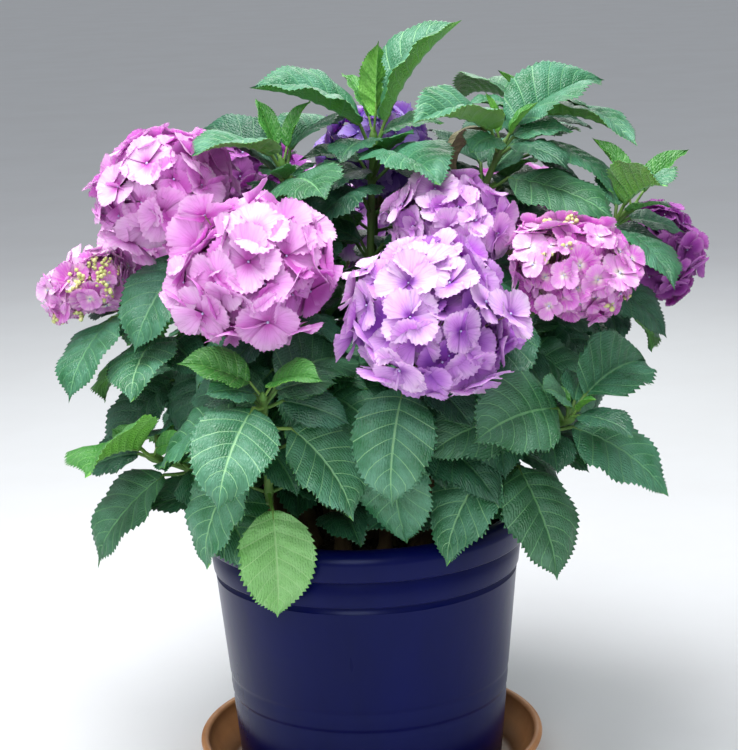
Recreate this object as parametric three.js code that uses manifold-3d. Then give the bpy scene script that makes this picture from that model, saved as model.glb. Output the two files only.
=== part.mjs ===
// A bigleaf hydrangea in a round patio pot that stands in a saucer. Millimetres, +Z up, -Y is the front.
// The origin is the middle of the saucer's underside. Canes rise out of the potting soil and fan out. Each
// one carries its own mass of paired leaves, and twelve end in a round flower head of four-sepalled florets.
import * as THREE from "three";
import { mergeVertices } from "three/addons/utils/BufferGeometryUtils.js";
import Module from "manifold-3d";

const wasm = await Module();
wasm.setup();

// Driving dimensions of the pot, its saucer and the soil.
const GAP = 0.3;
const ROUND_SIDES = 40;
const WALL = 6;
const SAUCER = { radius: 186, height: 46, floor: 5, foot: 158, lip: 9 };
const POT = { lipRadius: 172, lipHeight: 31, collarHeight: 29, height: 292, footRadius: 140, taper: 0.092 };
const POT_EDGE = { step: 2, round: 6 };
const SOIL_BELOW_RIM = 34;
const POT_FOOT = SAUCER.floor + GAP;
const POT_TOP = POT_FOOT + POT.height;
const LIP_FOOT = POT_TOP - POT.lipHeight;
const COLLAR_FOOT = LIP_FOOT - POT.collarHeight;
const SOIL_TOP = POT_TOP - SOIL_BELOW_RIM;

// Driving dimensions of the plant.
const CANE = { footRadius: 7.2, tipRadius: 4.4, flare: 1.5, flareLength: 18, sides: 6, rings: 5 };
const SHOOT = { rootRadius: 4.2, tipRadius: 3.2, sides: 4, step: 52 };
const ARCH = { out: 0.26, up: 0.62 };
const PAIR_STEP = 52;
const TOP_PAIR = { belowTip: 14, belowHead: 26, stemAbove: 10, stemBelowLast: 16 };
const LEAF = { widest: 0.7, base: 0.6, point: 0.83, thick: 1.5, tilt: 1.4, stations: [0.15, 0.42, 0.72] };
const FOLD = { level: 16, withRise: 0.7, least: 12, most: 50 };
const DROOP = { young: 16, grown: 34 };
const FURL = 0.5;
const TOWARDS_LIGHT = 16;
const STALK = { radius: 2, share: 0.2, least: 8, lift: 18, steepest: 58, follow: 0.45 };
const FLORET = { across: 0.64, core: 0.84, apex: 0.7, sunk: 0.07, dish: 5, spread: 128, least: 8, each: 9 };
const UNEVEN = { turn: 4, rise: 4, droop: 8, roll: 8, fold: 6, length: 0.05, floret: 0.12, sunk: 0.03 };
const SEED = { leaves: 1009, leavesStep: 271, florets: 4177, floretsStep: 613 };

// The room that leaves keep: to each other, along their own stem, and round the pot's rim and soil.
const ROOM = { clear: 4.5, ownStem: 34, stemStep: 12 };
const RIM_ROOM = { above: 6, outside: 7, inside: 32, aboveSoil: 8 };
const SWELL = 0.5;

// A pair of leaves: how far it sits below the top pair, then the compass turn and the rise of each leaf.
function pair(down, turn, rise, otherTurn, otherRise) {
  return { down, leaves: [[turn, rise], [otherTurn, otherRise]] };
}

// Pairs of the plain habit: each a quarter turn on from the one above it and hanging lower by fall.
function evenPairs(count, turn, rise, fall, from = 0) {
  return Array.from({ length: count }, (_, i) => {
    const lower = rise - fall * i;
    return pair(from + PAIR_STEP * i, turn + 90 * i, lower, turn + 90 * i + 180, lower);
  });
}

// Every shoot: where its cane leaves the soil, the place of its flower head's middle, or of its growing
// point where it has none, the head's two radii and its colour, the length of a grown leaf and of its
// youngest pair, and its pairs of leaves.
const SHOOTS = [
  {
    name: "front_left_leafy", foot: [-96, -100], tip: [-91, -250, 484], leaf: 110, young: 66,
    pairs: [
      pair(0, 196, 27, 318, 19), pair(20, 248, -22, 63, 15), pair(56, 152, -16, 345, -32),
      pair(106, 203, -43, 60, -10), pair(158, 284, -66, 100, 0),
    ],
  },
  {
    name: "front_right_leafy", foot: [57, -63], tip: [208, -206, 440], leaf: 112, young: 26,
    pairs: [
      pair(0, 130, 50, 320, 40), pair(6, 222, 14, 50, 22), pair(36, 345, -14, 200, 5),
      pair(78, 195, -42, 40, -5), pair(104, 300, -44, 120, -10),
    ],
  },
  {
    name: "front_purple", foot: [19, -70], tip: [66, -250, 546], head: [84, 72],
    petals: "purple", leaf: 112,
    pairs: [pair(4, 251, -44, 60, -24), pair(52, 235, -78, 140, -15), pair(92, 330, -20, 180, -20)],
  },
  {
    name: "front_pink", foot: [-24, -50], tip: [-98, -212, 590], head: [83, 66],
    petals: "pink", leaf: 110,
    pairs: [pair(0, 310, -50, 150, -30), pair(50, 220, -45, 30, -10), pair(98, 300, -25, 120, -20)],
  },
  {
    name: "right_pink", foot: [55, -39], tip: [206, -168, 576], head: [66, 50],
    petals: "rose", leaf: 106,
    pairs: [pair(0, 280, -10, 70, -10), pair(50, 210, -30, 0, -35), pair(100, 290, -30, 110, -10)],
  },
  {
    name: "upper_left_pink", foot: [-54, -21], tip: [-190, -74, 652], head: [76, 60],
    petals: "pink", leaf: 110,
    pairs: evenPairs(4, 215, -35, 4),
  },
  {
    name: "upper_middle_lilac", foot: [24, -29], tip: [92, -104, 611], head: [65, 55],
    petals: "lilac", leaf: 104,
    pairs: evenPairs(3, 330, -10, 14),
  },
  {
    name: "small_left_pink", foot: [-78, -8], tip: [-273, -50, 553], head: [54, 32],
    petals: "pink", leaf: 106,
    pairs: [pair(0, 240, -20, 80, -25), pair(45, 257, -4, 130, -25), pair(95, 200, -30, 330, -35)],
  },
  {
    name: "top_middle_leafy", foot: [6, -5], tip: [22, -20, 705], leaf: 124, young: 78,
    pairs: [
      pair(16, 8, 66, 200, 34), pair(0, 280, 84, 110, 80), pair(45, 297, 15, 129, -1),
      pair(80, 242, 12, 60, 5), pair(130, 340, -10, 150, -10),
    ],
  },
  {
    name: "top_right_leafy", foot: [45, -10], tip: [156, -36, 690], leaf: 118, young: 40,
    pairs: [
      pair(0, 203, 80, 344, 52), pair(8, 31, 39, 229, 28), pair(50, 338, -8, 115, 28),
      pair(96, 255, -10, 60, 0), pair(145, 350, -25, 170, -15),
    ],
  },
  {
    name: "top_left_leafy", foot: [-22, -18], tip: [-74, -66, 684], leaf: 102, young: 52,
    pairs: [
      pair(0, 24, 71, 130, 66), pair(12, 226, 26, 50, 28), pair(34, 284, -8, 114, 42),
      pair(70, 200, -5, 20, 0), pair(120, 280, -20, 110, -10),
    ],
  },
  {
    name: "far_right_leafy", foot: [73, -11], tip: [290, -44, 622], leaf: 104, young: 62,
    pairs: [
      pair(0, 150, 59, 10, 46), pair(26, 326, 30, 120, 12), pair(56, 305, 0, 130, -5),
      pair(104, 20, -15, 230, -20), pair(150, 300, -30, 120, -20),
    ],
  },
  {
    name: "rear_right_leafy", foot: [60, 30], tip: [196, 66, 706], leaf: 112, young: 50,
    pairs: [
      pair(0, 20, 60, 200, 55), pair(12, 316, 8, 120, 20), pair(44, 275, -17, 60, 10),
      pair(92, 350, -10, 170, -10),
    ],
  },
  {
    name: "right_rear_magenta", foot: [89, 11], tip: [314, 40, 552], head: [55, 55],
    petals: "magenta", leaf: 108,
    pairs: evenPairs(3, 10, -15, 15),
  },
  {
    name: "rear_middle_violet", foot: [8, 19], tip: [26, 66, 664], head: [60, 56],
    petals: "violet", leaf: 108,
    pairs: evenPairs(4, 60, -5, 10),
  },
  {
    name: "rear_left_magenta", foot: [-30, 23], tip: [-106, 84, 634], head: [56, 50],
    petals: "magenta", leaf: 108,
    pairs: evenPairs(4, 140, -5, 10),
  },
  {
    name: "back_left_pink", foot: [-62, 43], tip: [-226, 150, 545], head: [70, 60],
    petals: "pink", leaf: 112,
    pairs: evenPairs(3, 120, -15, 15),
  },
  {
    name: "back_middle_purple", foot: [-8, 70], tip: [-30, 246, 560], head: [78, 68],
    petals: "purple", leaf: 114,
    pairs: evenPairs(4, 70, -15, 12),
  },
  {
    name: "back_right_pink", foot: [49, 56], tip: [176, 196, 572], head: [72, 62],
    petals: "rose", leaf: 112,
    pairs: evenPairs(3, 30, -15, 15),
  },
  {
    name: "low_left_leafy", foot: [-75, -32], tip: [-222, -118, 392], leaf: 112, young: 40,
    pairs: [pair(0, 150, 30, 330, 20), pair(6, 250, 15, 70, 0), pair(50, 190, -35, 320, -35)],
  },
  {
    name: "low_back_leafy", foot: [25, 65], tip: [118, 262, 440], leaf: 114, young: 50,
    pairs: evenPairs(3, 60, 12, 22),
  },
  {
    name: "low_rear_left_leafy", foot: [-35, 60], tip: [-150, 236, 430], leaf: 114, young: 50,
    pairs: evenPairs(3, 130, 12, 22),
  },
];

const tone = (color, roughness) => new THREE.MeshStandardMaterial({ color, roughness, metalness: 0 });
const TONES = {
  pot: tone(0x1b1f5c, 0.38),
  saucer: tone(0xb57a45, 0.55),
  soil: tone(0x2c211a, 1),
  cane: tone(0x6d6a3c, 0.8),
  leaves: tone(0x2f6b35, 0.5),
};
const PETALS = {
  pink: tone(0xd284bb, 0.7),
  lilac: tone(0xb98bd0, 0.7),
  purple: tone(0x9a70c8, 0.7),
  violet: tone(0x7f5cb4, 0.7),
  rose: tone(0xdd6aa4, 0.7),
  magenta: tone(0x8a2f86, 0.7),
};

const UP = new THREE.Vector3(0, 0, 1);
const radians = (degrees) => (degrees * Math.PI) / 180;
const vector = (x, y, z) => new THREE.Vector3(x, y, z);

// A seeded stream of numbers from -1 to 1.
function seededStream(seed) {
  const modulus = 2147483647;
  let state = seed;
  return () => {
    state = (state * 16807) % modulus;
    return (2 * state) / modulus - 1;
  };
}

// A three.js geometry as a solid that can be joined to others.
function solidOf(geometry) {
  const bare = geometry.clone();
  bare.deleteAttribute("normal");
  bare.deleteAttribute("uv");
  const merged = mergeVertices(bare, 1e-4);
  const triVerts = Uint32Array.from(merged.index.array);
  const vertProperties = merged.attributes.position.array;
  return new wasm.Manifold(new wasm.Mesh({ numProp: 3, vertProperties, triVerts }));
}

// A joined solid as a three.js geometry.
function geometryOf(solid) {
  const mesh = solid.getMesh();
  const places = new Float32Array(mesh.numVert * 3);
  for (let i = 0; i < mesh.numVert; i++) {
    places.set(mesh.vertProperties.subarray(i * mesh.numProp, i * mesh.numProp + 3), i * 3);
  }
  return new THREE.BufferGeometry()
    .setAttribute("position", new THREE.BufferAttribute(places, 3))
    .setIndex(new THREE.BufferAttribute(mesh.triVerts, 1));
}

function node(name, geometry, tone) {
  const mesh = new THREE.Mesh(geometry, tone);
  mesh.name = name;
  return mesh;
}

// A turned shape from its (radius, height) profile, which starts and ends on the axis.
function turned(profile) {
  const points = profile.map(([radius, height]) => new THREE.Vector2(radius, height));
  return new THREE.LatheGeometry(points, ROUND_SIDES).rotateX(Math.PI / 2);
}

// Points on a quarter bead from one angle to another, for rolled edges.
function bead(middle, height, radius, from, to, steps) {
  return Array.from({ length: steps + 1 }, (_, i) => {
    const angle = radians(from + ((to - from) * i) / steps);
    return [middle + radius * Math.cos(angle), height + radius * Math.sin(angle)];
  });
}

// The saucer: a shallow dish with a rolled lip and a flat underside.
function saucerGeometry() {
  const { radius, height, floor, foot, lip } = SAUCER;
  const half = lip / 2;
  return turned([
    [0, 0],
    [foot, 0],
    [radius - lip, height - lip],
    ...bead(radius - half, height - half, half, -20, 180, 4),
    [foot - 2, floor],
    [0, floor],
  ]);
}

const bodyRadius = (height) => POT.footRadius + POT.taper * (height - POT_FOOT);

// The pot: a tapered wall with a stepped collar below a thick rolled lip.
function potGeometry() {
  const half = POT.lipHeight / 2;
  const { step, round } = POT_EDGE;
  return turned([
    [0, POT_FOOT],
    [POT.footRadius, POT_FOOT],
    [bodyRadius(COLLAR_FOOT), COLLAR_FOOT],
    [bodyRadius(COLLAR_FOOT) + step, COLLAR_FOOT],
    [bodyRadius(LIP_FOOT) + step, LIP_FOOT],
    [POT.lipRadius - step, LIP_FOOT],
    [POT.lipRadius, LIP_FOOT + half],
    ...bead(POT.lipRadius - round, POT_TOP - round, round, 20, 150, 3),
    [bodyRadius(LIP_FOOT) - WALL, LIP_FOOT],
    [POT.footRadius - WALL, POT_FOOT + WALL],
    [0, POT_FOOT + WALL],
  ]);
}

// The potting soil fills the pot up to the foot of its lip.
function soilGeometry() {
  const floor = POT_FOOT + WALL + GAP;
  const wall = (height) => bodyRadius(height) - WALL - 1;
  return turned([
    [0, floor],
    [wall(floor) - 1, floor],
    [wall(SOIL_TOP), SOIL_TOP],
    [0, SOIL_TOP],
  ]);
}

// The line of a shoot, from its foot on the soil, up, and out to its tip.
function shootLine({ foot, tip }) {
  const start = vector(...foot, SOIL_TOP + GAP);
  const end = vector(...tip);
  const bend = start.clone().lerp(end, ARCH.out);
  bend.z = start.z + (end.z - start.z) * ARCH.up;
  return new THREE.QuadraticBezierCurve3(start, bend, end);
}

// A limb of round section along part of a line, from one length along it to another.
function limb(line, from, to, radiusAt, sides, rings, flatFoot = false) {
  const length = line.getLength();
  const places = [];
  for (let i = 0; i <= rings; i++) {
    const along = from + ((to - from) * i) / rings;
    const middle = line.getPointAt(Math.min(1, along / length));
    const way = line.getTangentAt(Math.min(1, along / length));
    const side = UP.clone().cross(way).normalize();
    const other = way.clone().cross(side);
    for (let k = 0; k < sides; k++) {
      const angle = (2 * Math.PI * k) / sides;
      const radius = radiusAt(along);
      const place = middle.clone().addScaledVector(side, radius * Math.cos(angle));
      place.addScaledVector(other, radius * Math.sin(angle));
      if (flatFoot && i === 0) place.addScaledVector(way, (middle.z - place.z) / way.z);
      places.push(place);
    }
  }
  return loft(places, sides);
}

// A closed skin over rings of the same number of points, with flat ends.
function loft(places, sides) {
  const rings = places.length / sides;
  const faces = [];
  for (let i = 0; i + 1 < rings; i++) {
    for (let k = 0; k < sides; k++) {
      const [a, b] = [i * sides + k, i * sides + ((k + 1) % sides)];
      faces.push(a, b, b + sides, a, b + sides, a + sides);
    }
  }
  const last = (rings - 1) * sides;
  for (let k = 1; k + 1 < sides; k++) {
    faces.push(0, k + 1, k, last, last + k, last + k + 1);
  }
  return new THREE.BufferGeometry().setFromPoints(places).setIndex(faces);
}

// Half the width of a leaf at a share of its length, as a share of its greatest half width.
function leafOutline(share) {
  const peak = LEAF.base / (LEAF.base + LEAF.point);
  const shape = (s) => s ** LEAF.base * (1 - s) ** LEAF.point;
  return shape(share) / shape(peak);
}

// Where one leaf goes: its stalk leaves the stem at root, and its blade then bends down from rise by droop.
// The blade tilts with the lean of its stem.
function leafPlan(root, way, turn, rise, { droop, roll, fold, width }, length) {
  const outward = vector(Math.cos(radians(turn)), Math.sin(radians(turn)), 0);
  const level = UP.clone().addScaledVector(way, LEAF.tilt).cross(outward).normalize();
  const climb = radians(Math.min(rise + STALK.lift, STALK.steepest));
  const start = outward.clone().multiplyScalar(Math.cos(climb)).addScaledVector(UP, Math.sin(climb));
  start.addScaledVector(way, STALK.follow).normalize();
  const base = root.clone().addScaledVector(start, STALK.share * length + STALK.least);
  const section = (share) => {
    const [first, now] = [radians(rise), radians(rise - droop * share)];
    const bend = radians(droop);
    const middle = base.clone();
    middle.addScaledVector(outward, (length * (Math.sin(first) - Math.sin(now))) / bend);
    middle.addScaledVector(UP, (length * (Math.cos(now) - Math.cos(first))) / bend);
    const along = outward.clone().multiplyScalar(Math.cos(now)).addScaledVector(UP, Math.sin(now));
    const side = level.clone().addScaledVector(along, -level.dot(along)).normalize();
    side.applyAxisAngle(along, radians(roll));
    const normal = along.clone().cross(side);
    const half = (width * length * leafOutline(share)) / 2;
    const edge = (sign) =>
      middle
        .clone()
        .addScaledVector(side, sign * half * Math.cos(radians(fold)))
        .addScaledVector(normal, half * Math.sin(radians(fold)));
    return { middle, normal, side, left: edge(1), right: edge(-1) };
  };
  const sections = LEAF.stations.map(section);
  return { root, base, start, length, sections, first: section(0), tip: section(1).middle };
}

// The flat triangles and the edges that stand for a leaf when its room is tested.
function leafSurface({ root, base, sections, tip }) {
  const { left, middle, right } = sections[0];
  const triangles = [[base, left, middle], [base, middle, right]];
  const edges = [[root, base], [base, left], [base, right], [base, middle]];
  sections.forEach((here, i) => {
    edges.push([here.left, here.middle], [here.middle, here.right]);
    const next = sections[i + 1];
    if (!next) return;
    triangles.push([here.left, next.left, next.middle], [here.left, next.middle, here.middle]);
    triangles.push([here.middle, next.middle, next.right], [here.middle, next.right, here.right]);
    edges.push([here.left, next.left], [here.middle, next.middle], [here.right, next.right]);
  });
  const end = sections[sections.length - 1];
  triangles.push([end.left, tip, end.middle], [end.middle, tip, end.right]);
  edges.push([end.left, tip], [end.middle, tip], [end.right, tip]);
  const middles = triangles.map(([a, b, c]) => a.clone().add(b).add(c).divideScalar(3));
  const corners = [base, tip, ...sections.flatMap((s) => [s.left, s.middle, s.right])];
  const sphere = new THREE.Sphere().setFromPoints([root, ...corners]);
  return { triangles: triangles.map(flatTriangle), edges, samples: [...corners, ...middles], sphere };
}

function flatTriangle([a, b, c]) {
  const [first, second] = [b.clone().sub(a), c.clone().sub(a)];
  const normal = first.clone().cross(second);
  return { a, first, second, normal: normal.clone().normalize(), area: normal.length() };
}

// Whether a point in a triangle's plane lies inside it, or just past its edge.
function insideTriangle({ a, first, second, normal, area }, point) {
  const arm = point.clone().sub(a);
  const u = arm.clone().cross(second).dot(normal) / area;
  const v = first.clone().cross(arm).dot(normal) / area;
  const edge = 0.02;
  return u > -edge && v > -edge && u + v < 1 + edge;
}

const nearTriangle = (triangle, point, reach) =>
  Math.abs(point.clone().sub(triangle.a).dot(triangle.normal)) < reach && insideTriangle(triangle, point);

function crosses(triangle, [from, to]) {
  const before = from.clone().sub(triangle.a).dot(triangle.normal);
  const after = to.clone().sub(triangle.a).dot(triangle.normal);
  if (before * after >= 0) return false;
  return insideTriangle(triangle, from.clone().lerp(to, before / (before - after)));
}

function leavesTouch(one, other) {
  if (!one.sphere.intersectsSphere(other.sphere)) return false;
  const pierces = (p, q) => p.edges.some((edge) => q.triangles.some((triangle) => crosses(triangle, edge)));
  const grazes = (p, q) =>
    p.samples.some((point) => q.triangles.some((triangle) => nearTriangle(triangle, point, ROOM.clear)));
  return pierces(one, other) || pierces(other, one) || grazes(one, other) || grazes(other, one);
}

// Whether a point lies in a flower head, or nearly.
function insideHead({ middle, way, head }, point) {
  const arm = point.clone().sub(middle);
  const along = arm.dot(way);
  const across = Math.sqrt(Math.max(0, arm.lengthSq() - along * along));
  return Math.hypot(along / (head[1] + ROOM.clear), across / (head[0] + ROOM.clear)) < 1;
}

// Whether a point lies in the pot or its soil, or nearly.
function insidePot(point) {
  const across = Math.hypot(point.x, point.y);
  if (point.z > POT_TOP + RIM_ROOM.above || across > POT.lipRadius + RIM_ROOM.outside) return false;
  return across > POT.lipRadius - RIM_ROOM.inside || point.z < SOIL_TOP + RIM_ROOM.aboveSoil;
}

// Each shoot with its line, its head's place and the lengths along the line where its pieces begin and end.
function laidOut(shoot, index) {
  const line = shootLine(shoot);
  const length = line.getLength();
  const way = line.getTangentAt(1).add(UP).normalize();
  const top = length - (shoot.head ? shoot.head[1] + TOP_PAIR.belowHead : TOP_PAIR.belowTip);
  const pairs = shoot.pairs.map(({ down, leaves }) => {
    return { mark: top - down, young: !shoot.head && down === 0, leaves };
  });
  const joint = Math.min(...pairs.map(({ mark }) => mark)) - TOP_PAIR.stemBelowLast;
  const neck = top + TOP_PAIR.stemAbove;
  const middle = vector(...shoot.tip);
  return { ...shoot, index, line, length, way, pairs, joint, neck, middle };
}

// Points along a shoot's cane and stem.
function stemPoints({ line, length, neck, index }) {
  const count = Math.ceil(neck / ROOM.stemStep);
  return Array.from({ length: count + 1 }, (_, i) => {
    const along = (neck * i) / count;
    return { place: line.getPointAt(along / length), along, index };
  });
}

// What a leaf may give way by, in the order it is tried.
const RISE_TRIES = [0, -8, 8, -18, 18, -30];
const TURN_TRIES = [0, 7, -7, 15, -15, 26, -26, 40, -40];
const SIZE_TRIES = [1, 0.78];

// Every leaf that finds room, shoot by shoot from the top pair down.
function growLeaves(shoots) {
  const heads = shoots.filter((shoot) => shoot.head);
  const stems = shoots.flatMap(stemPoints);
  const reach = CANE.footRadius + ROOM.clear;
  const grown = [];
  const hasRoom = (surface, shoot, mark) => {
    if (surface.samples.some(insidePot)) return false;
    if (surface.samples.some((point) => heads.some((head) => insideHead(head, point)))) return false;
    const blocked = stems.some(({ place, along, index }) => {
      if (index === shoot.index && Math.abs(along - mark) < ROOM.ownStem) return false;
      if (place.distanceTo(surface.sphere.center) > surface.sphere.radius + reach) return false;
      return surface.triangles.some((triangle) => nearTriangle(triangle, place, reach));
    });
    return !blocked && !grown.some((leaf) => leavesTouch(leaf.surface, surface));
  };
  for (const shoot of shoots) {
    const next = seededStream(SEED.leaves + SEED.leavesStep * shoot.index);
    for (const { mark, young, leaves } of shoot.pairs) {
      const root = shoot.line.getPointAt(mark / shoot.length);
      const way = shoot.line.getTangentAt(mark / shoot.length);
      for (const [faceTurn, faceRise] of leaves) {
        const turn = faceTurn + UNEVEN.turn * next();
        const rise = faceRise + UNEVEN.rise * next();
        const furled = young ? FURL * Math.max(0, Math.sin(radians(rise))) : 0;
        const fold = Math.max(FOLD.least, FOLD.level + FOLD.withRise * rise);
        const set = {
          droop: (young ? DROOP.young : DROOP.grown) + UNEVEN.droop * next(),
          roll: TOWARDS_LIGHT * Math.cos(radians(turn)) + UNEVEN.roll * next(),
          fold: Math.min(FOLD.most, fold) + UNEVEN.fold * next(),
          width: LEAF.widest * (1 - furled),
        };
        const length = (young ? shoot.young : shoot.leaf) * (1 + UNEVEN.length * next());
        const found = firstWithRoom(root, way, turn, rise, set, length, (s) => hasRoom(s, shoot, mark));
        if (found) grown.push({ ...found, shoot });
      }
    }
  }
  return grown;
}

// The leaf nearest to the one asked for that has room: turned, raised or lowered, or else made smaller.
function firstWithRoom(root, way, turn, rise, set, length, hasRoom) {
  for (const size of SIZE_TRIES) {
    for (const lift of RISE_TRIES) {
      for (const swing of TURN_TRIES) {
        const plan = leafPlan(root, way, turn + swing, rise + lift, set, length * size);
        const surface = leafSurface(plan);
        if (hasRoom(surface)) return { plan, surface };
      }
    }
  }
  return null;
}

// A leaf as a closed blade with a keel, drawn out into its stalk. grow makes it larger all round.
function leafSolid({ root, base, start, first, sections, tip }, grow = 0) {
  const half = STALK.radius + grow;
  const ring = (middle, left, right, normal, thick) => [
    left,
    middle.clone().addScaledVector(normal, thick),
    right,
    middle.clone().addScaledVector(normal, -thick),
  ];
  const across = first.side.clone().addScaledVector(start, -first.side.dot(start)).normalize();
  const over = start.clone().cross(across);
  const stalk = (place) => {
    const [left, right] = [1, -1].map((sign) => place.clone().addScaledVector(across, sign * half));
    return ring(place, left, right, over, half);
  };
  const blade = sections.flatMap(({ middle, left, right, normal }) => {
    const [out, back] = [left.clone().sub(middle), right.clone().sub(middle)];
    out.setLength(out.length() + grow);
    back.setLength(back.length() + grow);
    return ring(middle, middle.clone().add(out), middle.clone().add(back), normal, LEAF.thick + grow);
  });
  const places = [...stalk(root), ...stalk(base), ...blade, tip];
  const faces = [0, 2, 1, 0, 3, 2];
  const rings = (places.length - 1) / 4;
  for (let i = 0; i < rings; i++) {
    for (let k = 0; k < 4; k++) {
      const [a, b] = [i * 4 + k, i * 4 + ((k + 1) % 4)];
      if (i + 1 === rings) faces.push(a, b, places.length - 1);
      else faces.push(a, b, b + 4, a, b + 4, a + 4);
    }
  }
  return solidOf(new THREE.BufferGeometry().setFromPoints(places).setIndex(faces));
}

// A flower head: a core on its stalk, with florets that stand out of it, each a dish of four sepals.
function headSolid({ line, length, neck, way, middle, head, index }) {
  const [wide, tall] = head;
  const next = seededStream(SEED.florets + SEED.floretsStep * index);
  const frame = new THREE.Quaternion().setFromUnitVectors(UP, way);
  const placed = (point) => point.applyQuaternion(frame).add(middle);
  const core = new THREE.IcosahedronGeometry(1, 1);
  core.scale(wide * FLORET.core, wide * FLORET.core, tall * FLORET.core);
  core.applyQuaternion(frame).translate(middle.x, middle.y, middle.z);
  const stalk = limb(line, neck + GAP, length, () => SHOOT.tipRadius, SHOOT.sides, 1);
  const pieces = [solidOf(core), solidOf(stalk)];
  const count = Math.round(FLORET.least + wide / FLORET.each);
  for (let i = 0; i < count; i++) {
    const lowest = Math.cos(radians(FLORET.spread));
    const height = 1 - ((1 - lowest) * (i + 0.5)) / count;
    const turn = i * Math.PI * (3 - Math.sqrt(5));
    const flat = Math.sqrt(1 - height * height);
    const aim = vector(flat * Math.cos(turn), flat * Math.sin(turn), height);
    const spot = vector(aim.x * wide, aim.y * wide, aim.z * tall);
    const half = (wide * FLORET.across * (1 + UNEVEN.floret * next())) / 2;
    const side = vector(-aim.y, aim.x, 0).normalize().applyAxisAngle(aim, Math.PI * next());
    const other = aim.clone().cross(side);
    const rim = spot.clone().multiplyScalar(1 - FLORET.sunk + UNEVEN.sunk * next());
    const corners = [0, 1, 2, 3].map((k) => {
      const angle = (Math.PI * k) / 2;
      const corner = rim.clone().addScaledVector(side, half * Math.cos(angle));
      return placed(corner.addScaledVector(other, half * Math.sin(angle)));
    });
    const dish = placed(rim.clone().addScaledVector(aim, -FLORET.dish));
    const apex = placed(spot.clone().multiplyScalar(FLORET.apex));
    const faces = [0, 1, 2, 3].flatMap((k) => [k, (k + 1) % 4, 4, (k + 1) % 4, k, 5]);
    const floret = new THREE.BufferGeometry().setFromPoints([...corners, dish, apex]).setIndex(faces);
    pieces.push(solidOf(floret));
  }
  return wasm.Manifold.union(pieces);
}

// The woody lower part of a shoot, cut flat on the soil, with a flared foot.
function caneGeometry({ line, joint }) {
  const radiusAt = (along) => {
    const flare = 1 + (CANE.flare - 1) * Math.max(0, 1 - along / CANE.flareLength);
    return flare * (CANE.footRadius + ((CANE.tipRadius - CANE.footRadius) * along) / joint);
  };
  return limb(line, 0, joint, radiusAt, CANE.sides, CANE.rings, true);
}

// The leafy upper part of a shoot: its stem with every leaf's stalk sunk into it.
function leafySolid(shoot, leaves) {
  const { line, joint, neck } = shoot;
  const radiusAt = (along) =>
    SHOOT.rootRadius + ((SHOOT.tipRadius - SHOOT.rootRadius) * (along - joint)) / (neck - joint);
  const rings = Math.max(2, Math.round((neck - joint) / SHOOT.step));
  const stem = solidOf(limb(line, joint + GAP, neck, radiusAt, SHOOT.sides, rings));
  return wasm.Manifold.union([stem, ...leaves.map(({ plan }) => leafSolid(plan))]);
}

const plant = new THREE.Group();
plant.add(node("saucer", saucerGeometry(), TONES.saucer));
plant.add(node("pot", potGeometry(), TONES.pot));
plant.add(node("potting_soil", soilGeometry(), TONES.soil));

const shoots = SHOOTS.map(laidOut);
const fixed = [];
for (const shoot of shoots) {
  const cane = caneGeometry(shoot);
  fixed.push({ index: -1, solid: solidOf(cane) });
  plant.add(node("cane_" + shoot.name, cane, TONES.cane));
}
for (const shoot of shoots.filter((each) => each.head)) {
  const head = headSolid(shoot);
  fixed.push({ index: -1, solid: head });
  plant.add(node("flowers_" + shoot.name, geometryOf(head), PETALS[shoot.petals]));
}

// A leaf whose thickened blade would still meet a neighbour is left out.
const kept = [];
for (const leaf of growLeaves(shoots)) {
  const swollen = leafSolid(leaf.plan, SWELL);
  const others = [...fixed, ...kept.filter((other) => other.index !== leaf.shoot.index)];
  const meets = others.some(({ solid }) => swollen.intersect(solid).volume() > 0);
  if (!meets) kept.push({ ...leaf, index: leaf.shoot.index, solid: leafSolid(leaf.plan) });
}
for (const shoot of shoots) {
  const leaves = kept.filter((leaf) => leaf.index === shoot.index);
  plant.add(node("leaves_" + shoot.name, geometryOf(leafySolid(shoot, leaves)), TONES.leaves));
}

export default plant;
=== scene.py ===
import itertools
import math

import bpy
import numpy as np
from mathutils import Matrix, Vector


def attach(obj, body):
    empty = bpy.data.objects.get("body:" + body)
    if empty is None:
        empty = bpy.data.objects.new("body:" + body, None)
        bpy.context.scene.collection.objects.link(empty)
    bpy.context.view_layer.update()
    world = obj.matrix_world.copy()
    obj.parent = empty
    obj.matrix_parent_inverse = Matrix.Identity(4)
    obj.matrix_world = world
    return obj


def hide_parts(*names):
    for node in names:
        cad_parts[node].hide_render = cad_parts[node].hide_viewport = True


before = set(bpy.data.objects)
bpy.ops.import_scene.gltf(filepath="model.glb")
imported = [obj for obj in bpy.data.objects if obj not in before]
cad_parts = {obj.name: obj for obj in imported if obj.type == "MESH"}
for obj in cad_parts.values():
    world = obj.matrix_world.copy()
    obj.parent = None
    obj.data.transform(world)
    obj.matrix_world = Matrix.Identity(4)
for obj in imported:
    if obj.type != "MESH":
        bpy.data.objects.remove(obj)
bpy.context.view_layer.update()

MM = 0.001

# The saucer. A shallow dish of terracotta-coloured plastic, injection moulded, with a rolled lip. The pot
# stands loose in it. Its floor is stained brown where water has stood.
SAUCER = {"radius": 186, "height": 46, "floor": 5, "foot": 158, "lip": 9, "foot_round": 3, "floor_round": 8}
STAND_RING = {"outer": 30, "inner": 35, "edge": 1, "height": 1.2}
WATER_MARK = {"start": 0.024, "end": 0.006, "most": 0.8}
LATHE_SIDES = 128


def paint(red, green, blue):
    """A colour from its red, green and blue as a screen shows them, 0 to 255."""
    light = (c / 255 / 12.92 if c <= 10 else ((c / 255 + 0.055) / 1.055) ** 2.4 for c in (red, green, blue))
    return (*light, 1.0)


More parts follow.
